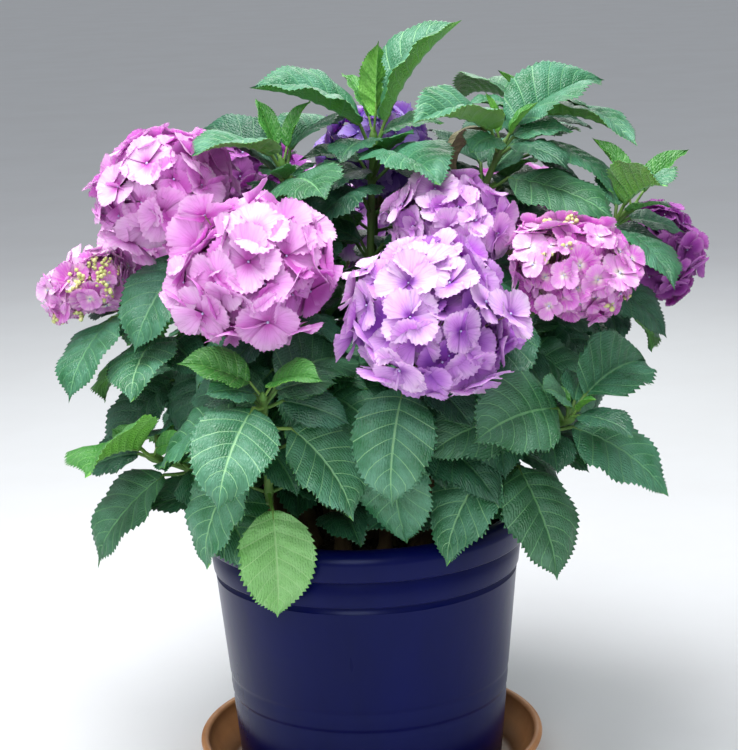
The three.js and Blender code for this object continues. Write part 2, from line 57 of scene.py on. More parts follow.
def as_piece(name, mesh, slot, replaces=()):
    """Makes a mesh one piece that rides on the plant and stands for the given nodes."""
    made = bpy.data.objects.new(name, mesh)
    bpy.context.scene.collection.objects.link(made)
    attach(made, "root")
    if replaces:
        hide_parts(*replaces)
    return made


class Heap:
    """Faces that pile up into one mesh: points in millimetres, and faces by their number of corners."""

    def __init__(self):
        self.points, self.faces, self.tones, self.maps, self.count = [], {}, {}, {}, 0

    def add(self, points, faces, tones=0, places=None):
        """Adds a shape. Its tones are the numbers of its materials: one for all, or one for each face."""
        for corners, rows in faces.items():
            tone = np.full(len(rows), tones) if isinstance(tones, int) else tones[corners]
            self.faces.setdefault(corners, []).append(rows + self.count)
            self.tones.setdefault(corners, []).append(tone)
            if places is not None:
                self.maps.setdefault(corners, []).append(places[rows].reshape(-1, 2))
        self.points.append(points)
        self.count += len(points)

    def piece(self, name, materials, slot, replaces=(), sharp=40):
        """Makes the heap one piece, with edges sharper than some degrees left hard."""
        order = sorted(self.faces)
        rows = [np.concatenate(self.faces[corners]) for corners in order]
        starts, first = [], 0
        for corners, group in zip(order, rows):
            starts.append(first + corners * np.arange(len(group)))
            first += group.size
        mesh = bpy.data.meshes.new(name)
        mesh.vertices.add(self.count)
        mesh.vertices.foreach_set("co", (np.concatenate(self.points) * MM).ravel().astype(np.float32))
        mesh.loops.add(first)
        mesh.loops.foreach_set("vertex_index", np.concatenate([group.ravel() for group in rows]))
        mesh.polygons.add(sum(map(len, rows)))
        mesh.polygons.foreach_set("loop_start", np.concatenate(starts))
        mesh.polygons.foreach_set("material_index", np.concatenate([t for c in order for t in self.tones[c]]))
        if self.maps:
            places = np.concatenate([place for corners in order for place in self.maps[corners]])
            mesh.uv_layers.new(name="blade").data.foreach_set("uv", places.ravel())
        mesh.update(calc_edges=True)
        mesh.validate()
        mesh.shade_smooth()
        if sharp:
            mesh.set_sharp_from_angle(angle=math.radians(sharp))
        for material in materials:
            mesh.materials.append(material)
        return as_piece(name, mesh, slot, replaces)


def ring_quads(rings, sides):
    """The four-cornered faces between rings of points that lie one after another."""
    side = np.arange(sides)
    ahead = (side + 1) % sides
    low = sides * np.arange(rings - 1)[:, None]
    high = low + sides
    return np.stack([low + side, low + ahead, high + ahead, high + side], -1).reshape(-1, 4)


def fan(middle, first, second):
    """The three-cornered faces from a middle point to a ring of edges."""
    return np.stack([np.full(len(first), middle), first, second], 1)


def turned(heap, profile):
    """A turned shape from its (radius, height) outline, which starts and ends on the axis."""
    sides = LATHE_SIDES
    angles = 2 * math.pi * np.arange(sides) / sides
    rings = [
        np.stack([radius * np.cos(angles), radius * np.sin(angles), np.full(sides, height)], 1)
        for radius, height in profile[1:-1]
    ]
    points = np.concatenate([*rings, [[0, 0, profile[0][1]], [0, 0, profile[-1][1]]]])
    side = np.arange(sides)
    ahead = (side + 1) % sides
    last = (len(rings) - 1) * sides
    ends = [fan(len(points) - 2, ahead, side), fan(len(points) - 1, last + side, last + ahead)]
    heap.add(points, {3: np.concatenate(ends), 4: ring_quads(len(rings), sides)})


def arc(middle, height, radius, start, end, steps):
    """Points of a rounded edge, by the angles in degrees that it runs between."""
    angles = np.radians(np.linspace(start, end, steps + 1))
    return [(middle + radius * math.cos(a), height + radius * math.sin(a)) for a in angles]


def new_material(name, **values):
    """A principled material with its plain values set on the shader's own sockets."""
    material = bpy.data.materials.new(name)
    material.use_nodes = True
    shader = material.node_tree.nodes["Principled BSDF"]
    for socket, value in values.items():
        shader.inputs[socket.replace("_", " ")].default_value = value
    return material


def add_node(tree, kind, sockets=(), **settings):
    """Adds a node: its settings, then a plain value or another node's output in each of its sockets."""
    node = tree.nodes.new(kind)
    for name, value in settings.items():
        setattr(node, name, value)
    for socket, value in dict(sockets).items():
        if isinstance(value, bpy.types.NodeSocket):
            tree.links.new(value, node.inputs[socket])
        else:
            node.inputs[socket].default_value = value
    return node


def reckon(tree, operation, *terms):
    """One step of arithmetic on values or outputs."""
    return add_node(tree, "ShaderNodeMath", enumerate(terms), operation=operation).outputs[0]


def mixed(tree, share, first, second):
    """Two colours mixed by a share."""
    mix = add_node(tree, "ShaderNodeMix", {"Factor": share, 6: first, 7: second}, data_type="RGBA")
    return mix.outputs[2]


def blend(tree, source, first, second, start, end, most, curve="SMOOTHSTEP"):
    """Mixes two colours by a value that runs between start and end, up to a share of most."""
    run = {"Value": source, "From Min": start, "From Max": end, "To Max": most}
    spread = add_node(tree, "ShaderNodeMapRange", run, interpolation_type=curve)
    return mixed(tree, spread.outputs["Result"], first, second)


def effect_group(name, inputs, outputs):
    """An empty shader effect: its tree, what its input node gives, and what its output node takes."""
    tree = bpy.data.node_groups.new(name, "ShaderNodeTree")
    for label, value in inputs.items():
        kind = {3: "Vector", 4: "Color"}[len(value)] if isinstance(value, tuple) else "Float"
        socket = tree.interface.new_socket(label, in_out="INPUT", socket_type="NodeSocket" + kind)
        socket.default_value = value
    for label, kind in outputs.items():
        tree.interface.new_socket(label, in_out="OUTPUT", socket_type="NodeSocket" + kind)
    return tree, tree.nodes.new("NodeGroupInput").outputs, tree.nodes.new("NodeGroupOutput").inputs


def stretched(tree, vector, measure):
    """A vector stretched along each axis by a measure."""
    return add_node(tree, "ShaderNodeVectorMath", {0: vector, 1: measure}, operation="MULTIPLY").outputs[0]


def stretched_place(tree, given):
    """Places on the object, stretched by an effect's own measure."""
    return stretched(tree, add_node(tree, "ShaderNodeTexCoord").outputs["Object"], given["Stretch"])


def patches_effect():
    """Soft patches: a colour and a roughness that wander a little from their own value."""
    tree, given, result = effect_group(
        "patches",
        {"Colour": (0.5, 0.5, 0.5, 1), "Other": (0.4, 0.4, 0.4, 1), "Scale": 20.0, "Share": 0.5,
         "Roughness": 0.5, "Spread": 0.1, "Stretch": (1, 1, 1)},
        {"Colour": "Color", "Roughness": "Float"},
    )
    noise = add_node(tree, "ShaderNodeTexNoise", {
        "Vector": stretched_place(tree, given), "Scale": given["Scale"], "Detail": 4, "Roughness": 0.6,
    })
    contrast = add_node(tree, "ShaderNodeMapRange", {
        "Value": noise.outputs["Fac"], "From Min": 0.35, "From Max": 0.68,
    }).outputs["Result"]
    share = reckon(tree, "MULTIPLY", contrast, given["Share"])
    tree.links.new(mixed(tree, share, given["Colour"], given["Other"]), result["Colour"])
    rough = reckon(tree, "MULTIPLY_ADD", contrast, given["Spread"], given["Roughness"])
    tree.links.new(rough, result["Roughness"])
    return tree


def grain_effect():
    """A fine height: rounded cells of one size, crossed by a softer wander."""
    tree, given, result = effect_group(
        "grain", {"Scale": 300.0, "Cells": 0.5, "Stretch": (1, 1, 1)}, {"Height": "Float"},
    )
    place = {"Vector": stretched_place(tree, given), "Scale": given["Scale"]}
    cells = add_node(tree, "ShaderNodeTexVoronoi", place, feature="SMOOTH_F1")
    noise = add_node(tree, "ShaderNodeTexNoise", {**place, "Detail": 3})
    height = add_node(tree, "ShaderNodeMix", {
        "Factor": given["Cells"], 2: noise.outputs["Fac"], 3: cells.outputs["Distance"],
    })
    tree.links.new(height.outputs[0], result["Height"])
    return tree


PATCHES = patches_effect()
GRAIN = grain_effect()


def to_shader(material, socket, source):
    """Links an output to one of the shader's own sockets."""
    material.node_tree.links.new(source, material.node_tree.nodes["Principled BSDF"].inputs[socket])


def add_relief(material, height, depth, strength=1):
    """Turns a height into relief in a material's surface."""
    bump = {"Height": height, "Distance": depth, "Strength": strength}
    to_shader(material, "Normal", add_node(material.node_tree, "ShaderNodeBump", bump).outputs["Normal"])


def add_patches(material, **values):
    """Puts the soft patches in a material, and returns their colour."""
    patches = add_node(material.node_tree, "ShaderNodeGroup", values, node_tree=PATCHES).outputs
    to_shader(material, "Base Color", patches["Colour"])
    to_shader(material, "Roughness", patches["Roughness"])
    return patches["Colour"]


def add_grain(material, depth, strength, **values):
    """Puts a fine grain in a material's surface."""
    grain = add_node(material.node_tree, "ShaderNodeGroup", values, node_tree=GRAIN).outputs
    add_relief(material, grain["Height"], depth, strength)


def saucer_plastic():
    """Terracotta-coloured plastic, patchy, and darker low down where water has stood."""
    plastic = new_material("saucer_plastic", Specular_IOR_Level=0.45)
    clean = add_patches(plastic, Colour=paint(206, 142, 84), Other=paint(160, 100, 54), Scale=14, Share=0.55,
                        Roughness=0.38, Spread=0.2)
    tree = plastic.node_tree
    place = add_node(tree, "ShaderNodeTexCoord").outputs["Object"]
    height = add_node(tree, "ShaderNodeSeparateXYZ", {0: place}).outputs["Z"]
    stained = blend(tree, height, clean, paint(84, 58, 40), **WATER_MARK, curve="LINEAR")
    to_shader(plastic, "Base Color", stained)
    add_grain(plastic, 0.0004, 0.12, Scale=900, Cells=0.4)
    return plastic


def make_saucer():
    radius, height, floor, foot, lip, foot_round, floor_round = SAUCER.values()
    ring_out, ring_in = foot - STAND_RING["outer"], foot - STAND_RING["inner"]
    ring_top = floor + STAND_RING["height"]
    heap = Heap()
    turned(heap, [
        (0, 0), (foot - 4 * foot_round, 0), *arc(foot - foot_round, foot_round, foot_round, -90, -35, 4),
        (radius - lip - 3, height - lip - 7), (radius - lip, height - lip),
        *arc(radius - lip / 2, height - lip / 2, lip / 2, -40, 190, 18),
        (radius - lip - 3.5, height - lip - 5), (foot + 4, floor + 9),
        *arc(foot - floor_round, floor + floor_round, floor_round, 0, -90, 5)[1:],
        (ring_out, floor), (ring_out - STAND_RING["edge"], ring_top),
        (ring_in + STAND_RING["edge"], ring_top), (ring_in, floor), (0, floor),
    ])
    heap.piece("saucer_dish", [saucer_plastic()], "saucer_plastic", ["saucer"])


make_saucer()

# The pot. Navy plastic, injection moulded in one piece: a tapered wall, a stepped collar, a thick rolled lip
# and two fine grooves low on the wall. Its satin skin is a little dusty and scuffed.
POT = {"lip_radius": 172, "lip_height": 31, "lip_round": 14, "collar_height": 29, "height": 292,
       "foot_radius": 140, "foot_round": 4, "taper": 0.092}
GAP = 0.3
WALL = 6
POT_STEP = 2
UNDERCUT = 3
POT_FOOT = SAUCER["floor"] + GAP
POT_TOP = POT_FOOT + POT["height"]
LIP_FOOT = POT_TOP - POT["lip_height"]
COLLAR_FOOT = LIP_FOOT - POT["collar_height"]
GROOVES = ((98, 1.3), (119, 0.8))


def body_radius(height):
    return POT["foot_radius"] + POT["taper"] * (height - POT_FOOT)


def groove(height, depth):
    """The outline of one groove in the wall, from below it to above it."""
    wall = body_radius(height)
    return [(wall - 0.7, height - 8), (wall - 0.3 - 0.5 * depth, height - 4), (wall - depth, height - 0.8),
            (wall - 0.8 * depth, height + 1.2), (wall + 0.1, height + 3.2), (wall + 0.4, height + 5)]


def make_pot():
    lip, lip_round = POT["lip_radius"], POT["lip_round"]
    foot, foot_round = POT["foot_radius"], POT["foot_round"]
    collar, under_lip = body_radius(COLLAR_FOOT), body_radius(LIP_FOOT)
    heap = Heap()
    turned(heap, [
        (0, POT_FOOT + 3), (foot - 14, POT_FOOT + 3), (foot - 12, POT_FOOT), (foot - 4, POT_FOOT),
        *arc(foot - 3.4, POT_FOOT + foot_round, foot_round, -80, 0, 5),
        *(point for place in GROOVES for point in groove(*place)), (collar - 0.4, COLLAR_FOOT - 7),
        (collar - UNDERCUT, COLLAR_FOOT - 3.4), (collar - UNDERCUT, COLLAR_FOOT - 0.4),
        *arc(collar + 0.6, COLLAR_FOOT + 1.6, 1.4, -80, 0, 4),
        (under_lip + POT_STEP - 0.5, LIP_FOOT - 9), (under_lip + POT_STEP - UNDERCUT, LIP_FOOT - 4.6),
        (under_lip + POT_STEP - UNDERCUT, LIP_FOOT - 0.4),
        *arc(lip - POT_STEP - 2, LIP_FOOT + 2, 2.4, -90, -10, 5),
        (lip - 0.7, LIP_FOOT + 9), *arc(lip - lip_round, POT_TOP - lip_round, lip_round, 4, 90, 14),
        *arc(lip - lip_round, POT_TOP - 4, 4, 90, 176, 5)[1:],
        (under_lip - WALL, LIP_FOOT), (foot - WALL, POT_FOOT + WALL), (0, POT_FOOT + WALL),
    ])
    plastic = new_material("pot_plastic", Specular_IOR_Level=0.2, Specular_Tint=(0.6, 0.7, 1.0, 1))
    add_patches(plastic, Colour=paint(3, 6, 60), Other=paint(8, 14, 80), Scale=9, Share=0.6,
                Roughness=0.27, Spread=0.06, Stretch=(1, 1, 0.35))
    add_grain(plastic, 0.0012, 0.12, Scale=60, Cells=0.15)
    heap.piece("plant_pot", [plastic], "pot_plastic", ["pot"])


make_pot()

# The potting soil. Moist peaty compost, pressed in by hand up to the foot of the lip: an uneven dark surface
# with loose crumbs and shreds of bark on it.
SOIL_TOP = POT_TOP - 34
SOIL = {"rings": 26, "sides": 96, "edge_room": 1, "foot_room": 2, "below": 1.5, "edge_sinks": 5}
CRUMBS = {"Density": 15000.0, "Smallest": 0.0012, "Largest": 0.0042}
CRUMB_SHAPE = (1.5, 0.8, 0.6)
FACES_UP = 0.5


def seeded_stream(seed):
    """A seeded stream of numbers from -1 to 1."""
    modulus = 2147483647
    state = seed

    def draw():
        nonlocal state
        state = state * 16807 % modulus
        return 2 * state / modulus - 1

    return draw


def growing_tree(name, *sizes):
    """An empty Geometry Nodes tree with named sizes, and what its input node gives."""
    tree = bpy.data.node_groups.new(name, "GeometryNodeTree")
    tree.interface.new_socket("Geometry", in_out="INPUT", socket_type="NodeSocketGeometry")
    for label in sizes:
        tree.interface.new_socket(label, in_out="INPUT", socket_type="NodeSocketFloat")
    tree.interface.new_socket("Geometry", in_out="OUTPUT", socket_type="NodeSocketGeometry")
    return tree, tree.nodes.new("NodeGroupInput").outputs


def end_tree(tree, placed, material):
    """Ends a Geometry Nodes tree: makes what it placed real, in its material."""
    real = add_node(tree, "GeometryNodeRealizeInstances", {0: placed.outputs[0]})
    coat = add_node(tree, "GeometryNodeSetMaterial", {0: real.outputs[0], "Material": material})
    tree.links.new(coat.outputs[0], tree.nodes.new("NodeGroupOutput").inputs[0])
    return tree


def scatter_tree(name, material, shape, seed, upward=None):
    """A Geometry Nodes tree that strews small rounded lumps over a surface's faces."""
    tree, given = growing_tree(name, "Density", "Smallest", "Largest")
    over = {"Mesh": given["Geometry"], "Density": given["Density"], "Seed": seed}
    if upward is not None:
        normal = add_node(tree, "GeometryNodeInputNormal").outputs[0]
        rise = add_node(tree, "ShaderNodeSeparateXYZ", {0: normal}).outputs["Z"]
        over["Selection"] = add_node(tree, "FunctionNodeCompare", {0: rise, 1: upward}).outputs[0]
    points = add_node(tree, "GeometryNodeDistributePointsOnFaces", over).outputs
    lump = add_node(tree, "GeometryNodeMeshIcoSphere", {"Radius": 1, "Subdivisions": 1})
    size = add_node(tree, "FunctionNodeRandomValue", {
        2: given["Smallest"], 3: given["Largest"], "Seed": seed + 1,
    })
    spin = add_node(tree, "FunctionNodeRandomValue", {
        0: (-0.5, -0.5, 0), 1: (0.5, 0.5, 2 * math.pi), "Seed": seed + 2,
    }, data_type="FLOAT_VECTOR")
    spun = add_node(tree, "FunctionNodeEulerToRotation", {0: spin.outputs[0]})
    turn = add_node(tree, "FunctionNodeRotateRotation", {
        "Rotation": points["Rotation"], "Rotate By": spun.outputs[0],
    }, rotation_space="LOCAL")
    placed = add_node(tree, "GeometryNodeInstanceOnPoints", {
        "Points": points["Points"], "Instance": lump.outputs["Mesh"],
        "Scale": stretched(tree, size.outputs[1], shape), "Rotation": turn.outputs[0],
    })
    return end_tree(tree, placed, material)


def grown_by(tree, surface, name, slot, **sizes):
    """The plain mesh that a Geometry Nodes tree makes on a surface, as a piece of its own."""
    carrier = bpy.data.objects.new(name + "_carrier", surface.data.copy())
    bpy.context.scene.collection.objects.link(carrier)
    modifier = carrier.modifiers.new(name, "NODES")
    modifier.node_group = tree
    for label, value in sizes.items():
        socket = next(s for s in tree.interface.items_tree if s.name == label and s.in_out == "INPUT")
        modifier[socket.identifier] = value
    bpy.context.view_layer.update()
    depsgraph = bpy.context.evaluated_depsgraph_get()
    mesh = bpy.data.meshes.new_from_object(carrier.evaluated_get(depsgraph), depsgraph=depsgraph)
    bpy.data.objects.remove(carrier)
    mesh.name = name
    mesh.shade_smooth()
    return as_piece(name, mesh, slot)


def soil_lumps(x, y):
    """How far the pressed soil rises or sinks at a place: broad swells, and small clods on them."""
    swells = 1.6 * np.sin(x / 9 + 1.7 * np.sin(y / 13)) * np.sin(y / 8 + x / 21)
    return swells + 0.9 * np.sin(x / 3.1) * np.sin(y / 3.7)


def make_soil():
    rings, sides = SOIL["rings"], SOIL["sides"]
    level, floor = SOIL_TOP - SOIL["below"], POT_FOOT + WALL + GAP
    edge = body_radius(SOIL_TOP) - WALL - SOIL["edge_room"]
    low = body_radius(floor) - WALL - SOIL["foot_room"]
    angles = 2 * math.pi * np.arange(sides) / sides
    across, ahead = np.cos(angles), np.sin(angles)
    points = []
    for ring in range(1, rings + 1):
        x, y = edge * ring / rings * across, edge * ring / rings * ahead
        height = level + soil_lumps(x, y) - SOIL["edge_sinks"] * (ring / rings) ** 6
        points.append(np.stack([x, y, height], 1))
    points.append(np.stack([low * across, low * ahead, np.full(sides, floor)], 1))
    points = np.concatenate([*points, [[0, 0, level], [0, 0, floor]]])
    side, after = np.arange(sides), (np.arange(sides) + 1) % sides
    last = rings * sides
    ends = [fan(len(points) - 2, side, after), fan(len(points) - 1, last + after, last + side)]
    heap = Heap()
    heap.add(points, {3: np.concatenate(ends), 4: ring_quads(rings + 1, sides)[:, [1, 0, 3, 2]]})
    compost = new_material("compost", Specular_IOR_Level=0.25)
    add_patches(compost, Colour=paint(38, 28, 22), Other=paint(74, 56, 42), Scale=90, Share=0.8,
                Roughness=0.85, Spread=0.1)
    add_grain(compost, 0.002, 0.7, Scale=420, Cells=0.5)
    soil = heap.piece("soil_surface", [compost], "potting_soil", ["potting_soil"], sharp=None)
    tree = scatter_tree("soil_crumbs", compost, CRUMB_SHAPE, 5, FACES_UP)
    grown_by(tree, soil, "soil_crumbs", "potting_soil", **CRUMBS)


make_soil()

# The canes. Each shoot rises from the soil on a woody cane with ridged, flaking bark and a swollen node where
# leaves once grew. Every shoot is set one by one: its foot on the soil, its tip or the middle of its flower
# head, the head's two radii, the length of its leaves and of its youngest pair, and its pairs of leaves.
CANE = {"foot_radius": 7.2, "tip_radius": 4.4, "flare": 1.5, "flare_length": 18, "below_soil": 3,
        "sides": 14, "ring_step": 3.5}
CANE_NODES = {"first": 38, "step": 44, "below_stem": 12, "wander": 5, "swell": 1.5, "half": 3.2}
BARK = {"ridges": 0.28, "twist": 0.22, "flakes": 0.25, "on_radius": 7}
BARK_STRETCH = (1, 1, 0.18)
GRAIN_STRETCH = (1, 1, 0.15)
PORES = {"Density": 12000.0, "Smallest": 0.0004, "Largest": 0.0009}
PORE_SHAPE = (1, 1, 1.6)
SHOOT = {"root_radius": 4.2, "tip_radius": 3.2}
ARCH = {"out": 0.26, "up": 0.62}
PAIR_STEP = 52
TOP_PAIR = {"below_tip": 14, "below_head": 26, "stem_above": 10, "stem_below_last": 16}
UP = np.array([0.0, 0.0, 1.0])


def pair(down, turn, rise, other_turn, other_rise):
    """A pair of leaves: how far it sits below the top pair, then each leaf's compass turn and its rise."""
    return down, [(turn, rise), (other_turn, other_rise)]


def even_pairs(count, turn, rise, fall):
    """Pairs of the plain habit: each a quarter turn on from the one above it and hanging lower by fall."""
    return [
        pair(PAIR_STEP * i, turn + 90 * i, rise - fall * i, turn + 90 * i + 180, rise - fall * i)
        for i in range(count)
    ]


# The tones are a letter for each leaf, pair by pair: y young, l light, m plain, d dark, f pale. Unripe says
# which way the closed part of a head faces, how near to that way it begins, and the share of buds elsewhere.
SHOOTS = [
    dict(name="front_left_leafy", foot=(-96, -100), tip=(-91, -250, 484), leaf=110, young=66,
         tones="yy lm ll ld fd", pairs=[
             pair(0, 196, 27, 318, 19), pair(20, 248, -22, 63, 15), pair(56, 152, -16, 345, -32),
             pair(106, 203, -43, 60, -10), pair(158, 284, -66, 100, 0)]),
    dict(name="front_right_leafy", foot=(57, -63), tip=(208, -206, 440), leaf=112, young=26,
         tones="yy mm mm ld md", pairs=[
             pair(0, 130, 50, 320, 40), pair(6, 222, 14, 50, 22), pair(36, 345, -14, 200, 5),
             pair(78, 195, -42, 40, -5), pair(104, 300, -44, 120, -10)]),
    dict(name="front_purple", foot=(19, -70), tip=(66, -250, 546), head=(84, 72), petals="purple", floret=53,
         leaf=112, tones="lm md dd", pairs=[
             pair(4, 251, -44, 60, -24), pair(52, 235, -78, 140, -15), pair(92, 330, -20, 180, -20)]),
    dict(name="front_pink", foot=(-24, -50), tip=(-98, -212, 590), head=(83, 66), petals="pink",
         leaf=110, tones="mm dd md", pairs=[
             pair(0, 310, -50, 150, -30), pair(50, 220, -45, 30, -10), pair(98, 300, -25, 120, -20)]),
    dict(name="right_pink", foot=(55, -39), tip=(206, -168, 576), head=(66, 50), petals="rose", floret=33,
         unripe=((0, -1, 0), 2, 0.1), leaf=106, tones="md dm dd", pairs=[
             pair(0, 280, -10, 70, -10), pair(50, 210, -30, 0, -35), pair(100, 290, -30, 110, -10)]),
    dict(name="upper_left_pink", foot=(-54, -21), tip=(-190, -74, 652), head=(76, 60), petals="pink",
         leaf=110, tones="mm dm dd dd", pairs=even_pairs(4, 215, -35, 4)),
    dict(name="upper_middle_lilac", foot=(24, -29), tip=(92, -104, 611), head=(65, 55), petals="lilac",
         floret=42, leaf=104, tones="mm dd dd", pairs=even_pairs(3, 330, -10, 14)),
    dict(name="small_left_pink", foot=(-78, -8), tip=(-273, -50, 553), head=(54, 32), petals="pink",
         floret=27, unripe=((0.1, -0.72, 0.69), 0.8, 0.06), leaf=106, tones="mm lm dd", pairs=[
             pair(0, 240, -20, 80, -25), pair(45, 257, -4, 130, -25), pair(95, 200, -30, 330, -35)]),
    dict(name="top_middle_leafy", foot=(6, -5), tip=(22, -20, 705), leaf=124, young=78,
         tones="lm yy mm dm dd", pairs=[
             pair(16, 8, 66, 200, 34), pair(0, 280, 84, 110, 80), pair(45, 297, 15, 129, -1),
             pair(80, 242, 12, 60, 5), pair(130, 340, -10, 150, -10)]),
    dict(name="top_right_leafy", foot=(45, -10), tip=(156, -36, 690), leaf=118, young=40,
         tones="yy ml md dd dd", pairs=[
             pair(0, 203, 80, 344, 52), pair(8, 31, 39, 229, 28), pair(50, 338, -8, 115, 28),
             pair(96, 255, -10, 60, 0), pair(145, 350, -25, 170, -15)]),
    dict(name="top_left_leafy", foot=(-22, -18), tip=(-74, -66, 684), leaf=102, young=52,
         tones="yy lm md dm dd", pairs=[
             pair(0, 24, 71, 130, 66), pair(12, 226, 26, 50, 28), pair(34, 284, -8, 114, 42),
             pair(70, 200, -5, 20, 0), pair(120, 280, -20, 110, -10)]),
    dict(name="far_right_leafy", foot=(73, -11), tip=(290, -44, 622), leaf=104, young=62,
         tones="yy lm mm dm dd", pairs=[
             pair(0, 150, 59, 10, 46), pair(26, 326, 30, 120, 12), pair(56, 305, 0, 130, -5),
             pair(104, 20, -15, 230, -20), pair(150, 300, -30, 120, -20)]),
    dict(name="rear_right_leafy", foot=(60, 30), tip=(196, 66, 706), leaf=112, young=50,
         tones="yy lm mm dd", pairs=[
             pair(0, 20, 60, 200, 55), pair(12, 316, 8, 120, 20), pair(44, 275, -17, 60, 10),
             pair(92, 350, -10, 170, -10)]),
    dict(name="right_rear_magenta", foot=(89, 11), tip=(314, 40, 552), head=(55, 55), petals="magenta",
         leaf=108, tones="md md dd", pairs=even_pairs(3, 10, -15, 15)),
    dict(name="rear_middle_violet", foot=(8, 19), tip=(26, 66, 664), head=(60, 56), petals="violet",
         leaf=108, pairs=even_pairs(4, 60, -5, 10)),
    dict(name="rear_left_magenta", foot=(-30, 23), tip=(-106, 84, 634), head=(56, 50), petals="magenta",
         leaf=108, pairs=even_pairs(4, 140, -5, 10)),
    dict(name="back_left_pink", foot=(-62, 43), tip=(-226, 150, 545), head=(70, 60), petals="pink",
         leaf=112, pairs=even_pairs(3, 120, -15, 15)),
    dict(name="back_middle_purple", foot=(-8, 70), tip=(-30, 246, 560), head=(78, 68), petals="purple",
         leaf=114, pairs=even_pairs(4, 70, -15, 12)),
    dict(name="back_right_pink", foot=(49, 56), tip=(176, 196, 572), head=(72, 62), petals="rose",
         leaf=112, pairs=even_pairs(3, 30, -15, 15)),
    dict(name="low_left_leafy", foot=(-75, -32), tip=(-222, -118, 392), leaf=112, young=40,
         tones="yy ym ml", pairs=[
             pair(0, 150, 30, 330, 20), pair(6, 250, 15, 70, 0), pair(50, 190, -35, 320, -35)]),
    dict(name="low_back_leafy", foot=(25, 65), tip=(118, 262, 440), leaf=114, young=50,
         pairs=even_pairs(3, 60, 12, 22)),
    dict(name="low_rear_left_leafy", foot=(-35, 60), tip=(-150, 236, 430), leaf=114, young=50,
         pairs=even_pairs(3, 130, 12, 22)),
]


def unit(vector):
    return vector / np.linalg.norm(vector, axis=-1, keepdims=True)


class ShootLine:
    """The line of a shoot, from its foot on the soil, up, and out to its tip."""

    def __init__(self, foot, tip):
        start, self.end = np.array([*foot, SOIL_TOP + GAP]), np.array(tip, float)
        bend = start + (self.end - start) * ARCH["out"]
        bend[2] = start[2] + (self.end[2] - start[2]) * ARCH["up"]
        self.corners = start, bend, self.end
        self.shares = np.linspace(0, 1, 201)
        steps = np.linalg.norm(np.diff(self.at(self.shares), axis=0), axis=1)
        self.lengths = np.concatenate([[0], np.cumsum(steps)])
        self.length = self.lengths[-1]

    def at(self, share):
        share = np.asarray(share)[..., None]
        a, b, c = self.corners
        return (1 - share) ** 2 * a + 2 * share * (1 - share) * b + share**2 * c

    def place(self, along):
        return self.at(np.interp(along, self.lengths, self.shares))

    def way(self, along):
        share = np.interp(along, self.lengths, self.shares)
        tiny = 0.0001
        return unit(self.at(np.minimum(share + tiny, 1)) - self.at(np.maximum(share - tiny, 0)))


for number, shoot in enumerate(SHOOTS):
    line = ShootLine(shoot["foot"], shoot["tip"])
    head = shoot.get("head")
    top = line.length - (head[1] + TOP_PAIR["below_head"] if head else TOP_PAIR["below_tip"])
    marks = [(top - down, not head and down == 0, leaves) for down, leaves in shoot["pairs"]]
    shoot.update(
        number=number, line=line, head=head, marks=marks, neck=top + TOP_PAIR["stem_above"],
        joint=min(mark for mark, _, _ in marks) - TOP_PAIR["stem_below_last"], middle=line.end,
        facing=unit(line.way(line.length) + UP),
    )


def between(start, end, share):
    return start + (end - start) * share


def swelling(along, mark, half):
    """A rounded swelling of 1 at a mark, and how it dies away to both sides."""
    return np.exp(-(((along - mark) / half) ** 2))


def limb(heap, places, ways, radii, sides, tone=0, relief=0):
    """A closed round limb over the given places, with its relief by ring and side."""
    side = unit(np.cross(UP, ways))
    other = np.cross(ways, side)
    angles = 2 * math.pi * np.arange(sides) / sides
    radii = np.asarray(radii, float)[:, None] * np.ones(sides) + relief
    across, ahead = (radii * np.cos(angles))[..., None], (radii * np.sin(angles))[..., None]
    points = places[:, None] + side[:, None] * across + other[:, None] * ahead
    rings, ring = len(places), np.arange(sides)
    ends = np.array([ring[::-1], (rings - 1) * sides + ring])
    heap.add(points.reshape(-1, 3), {4: ring_quads(rings, sides), sides: ends}, tone)


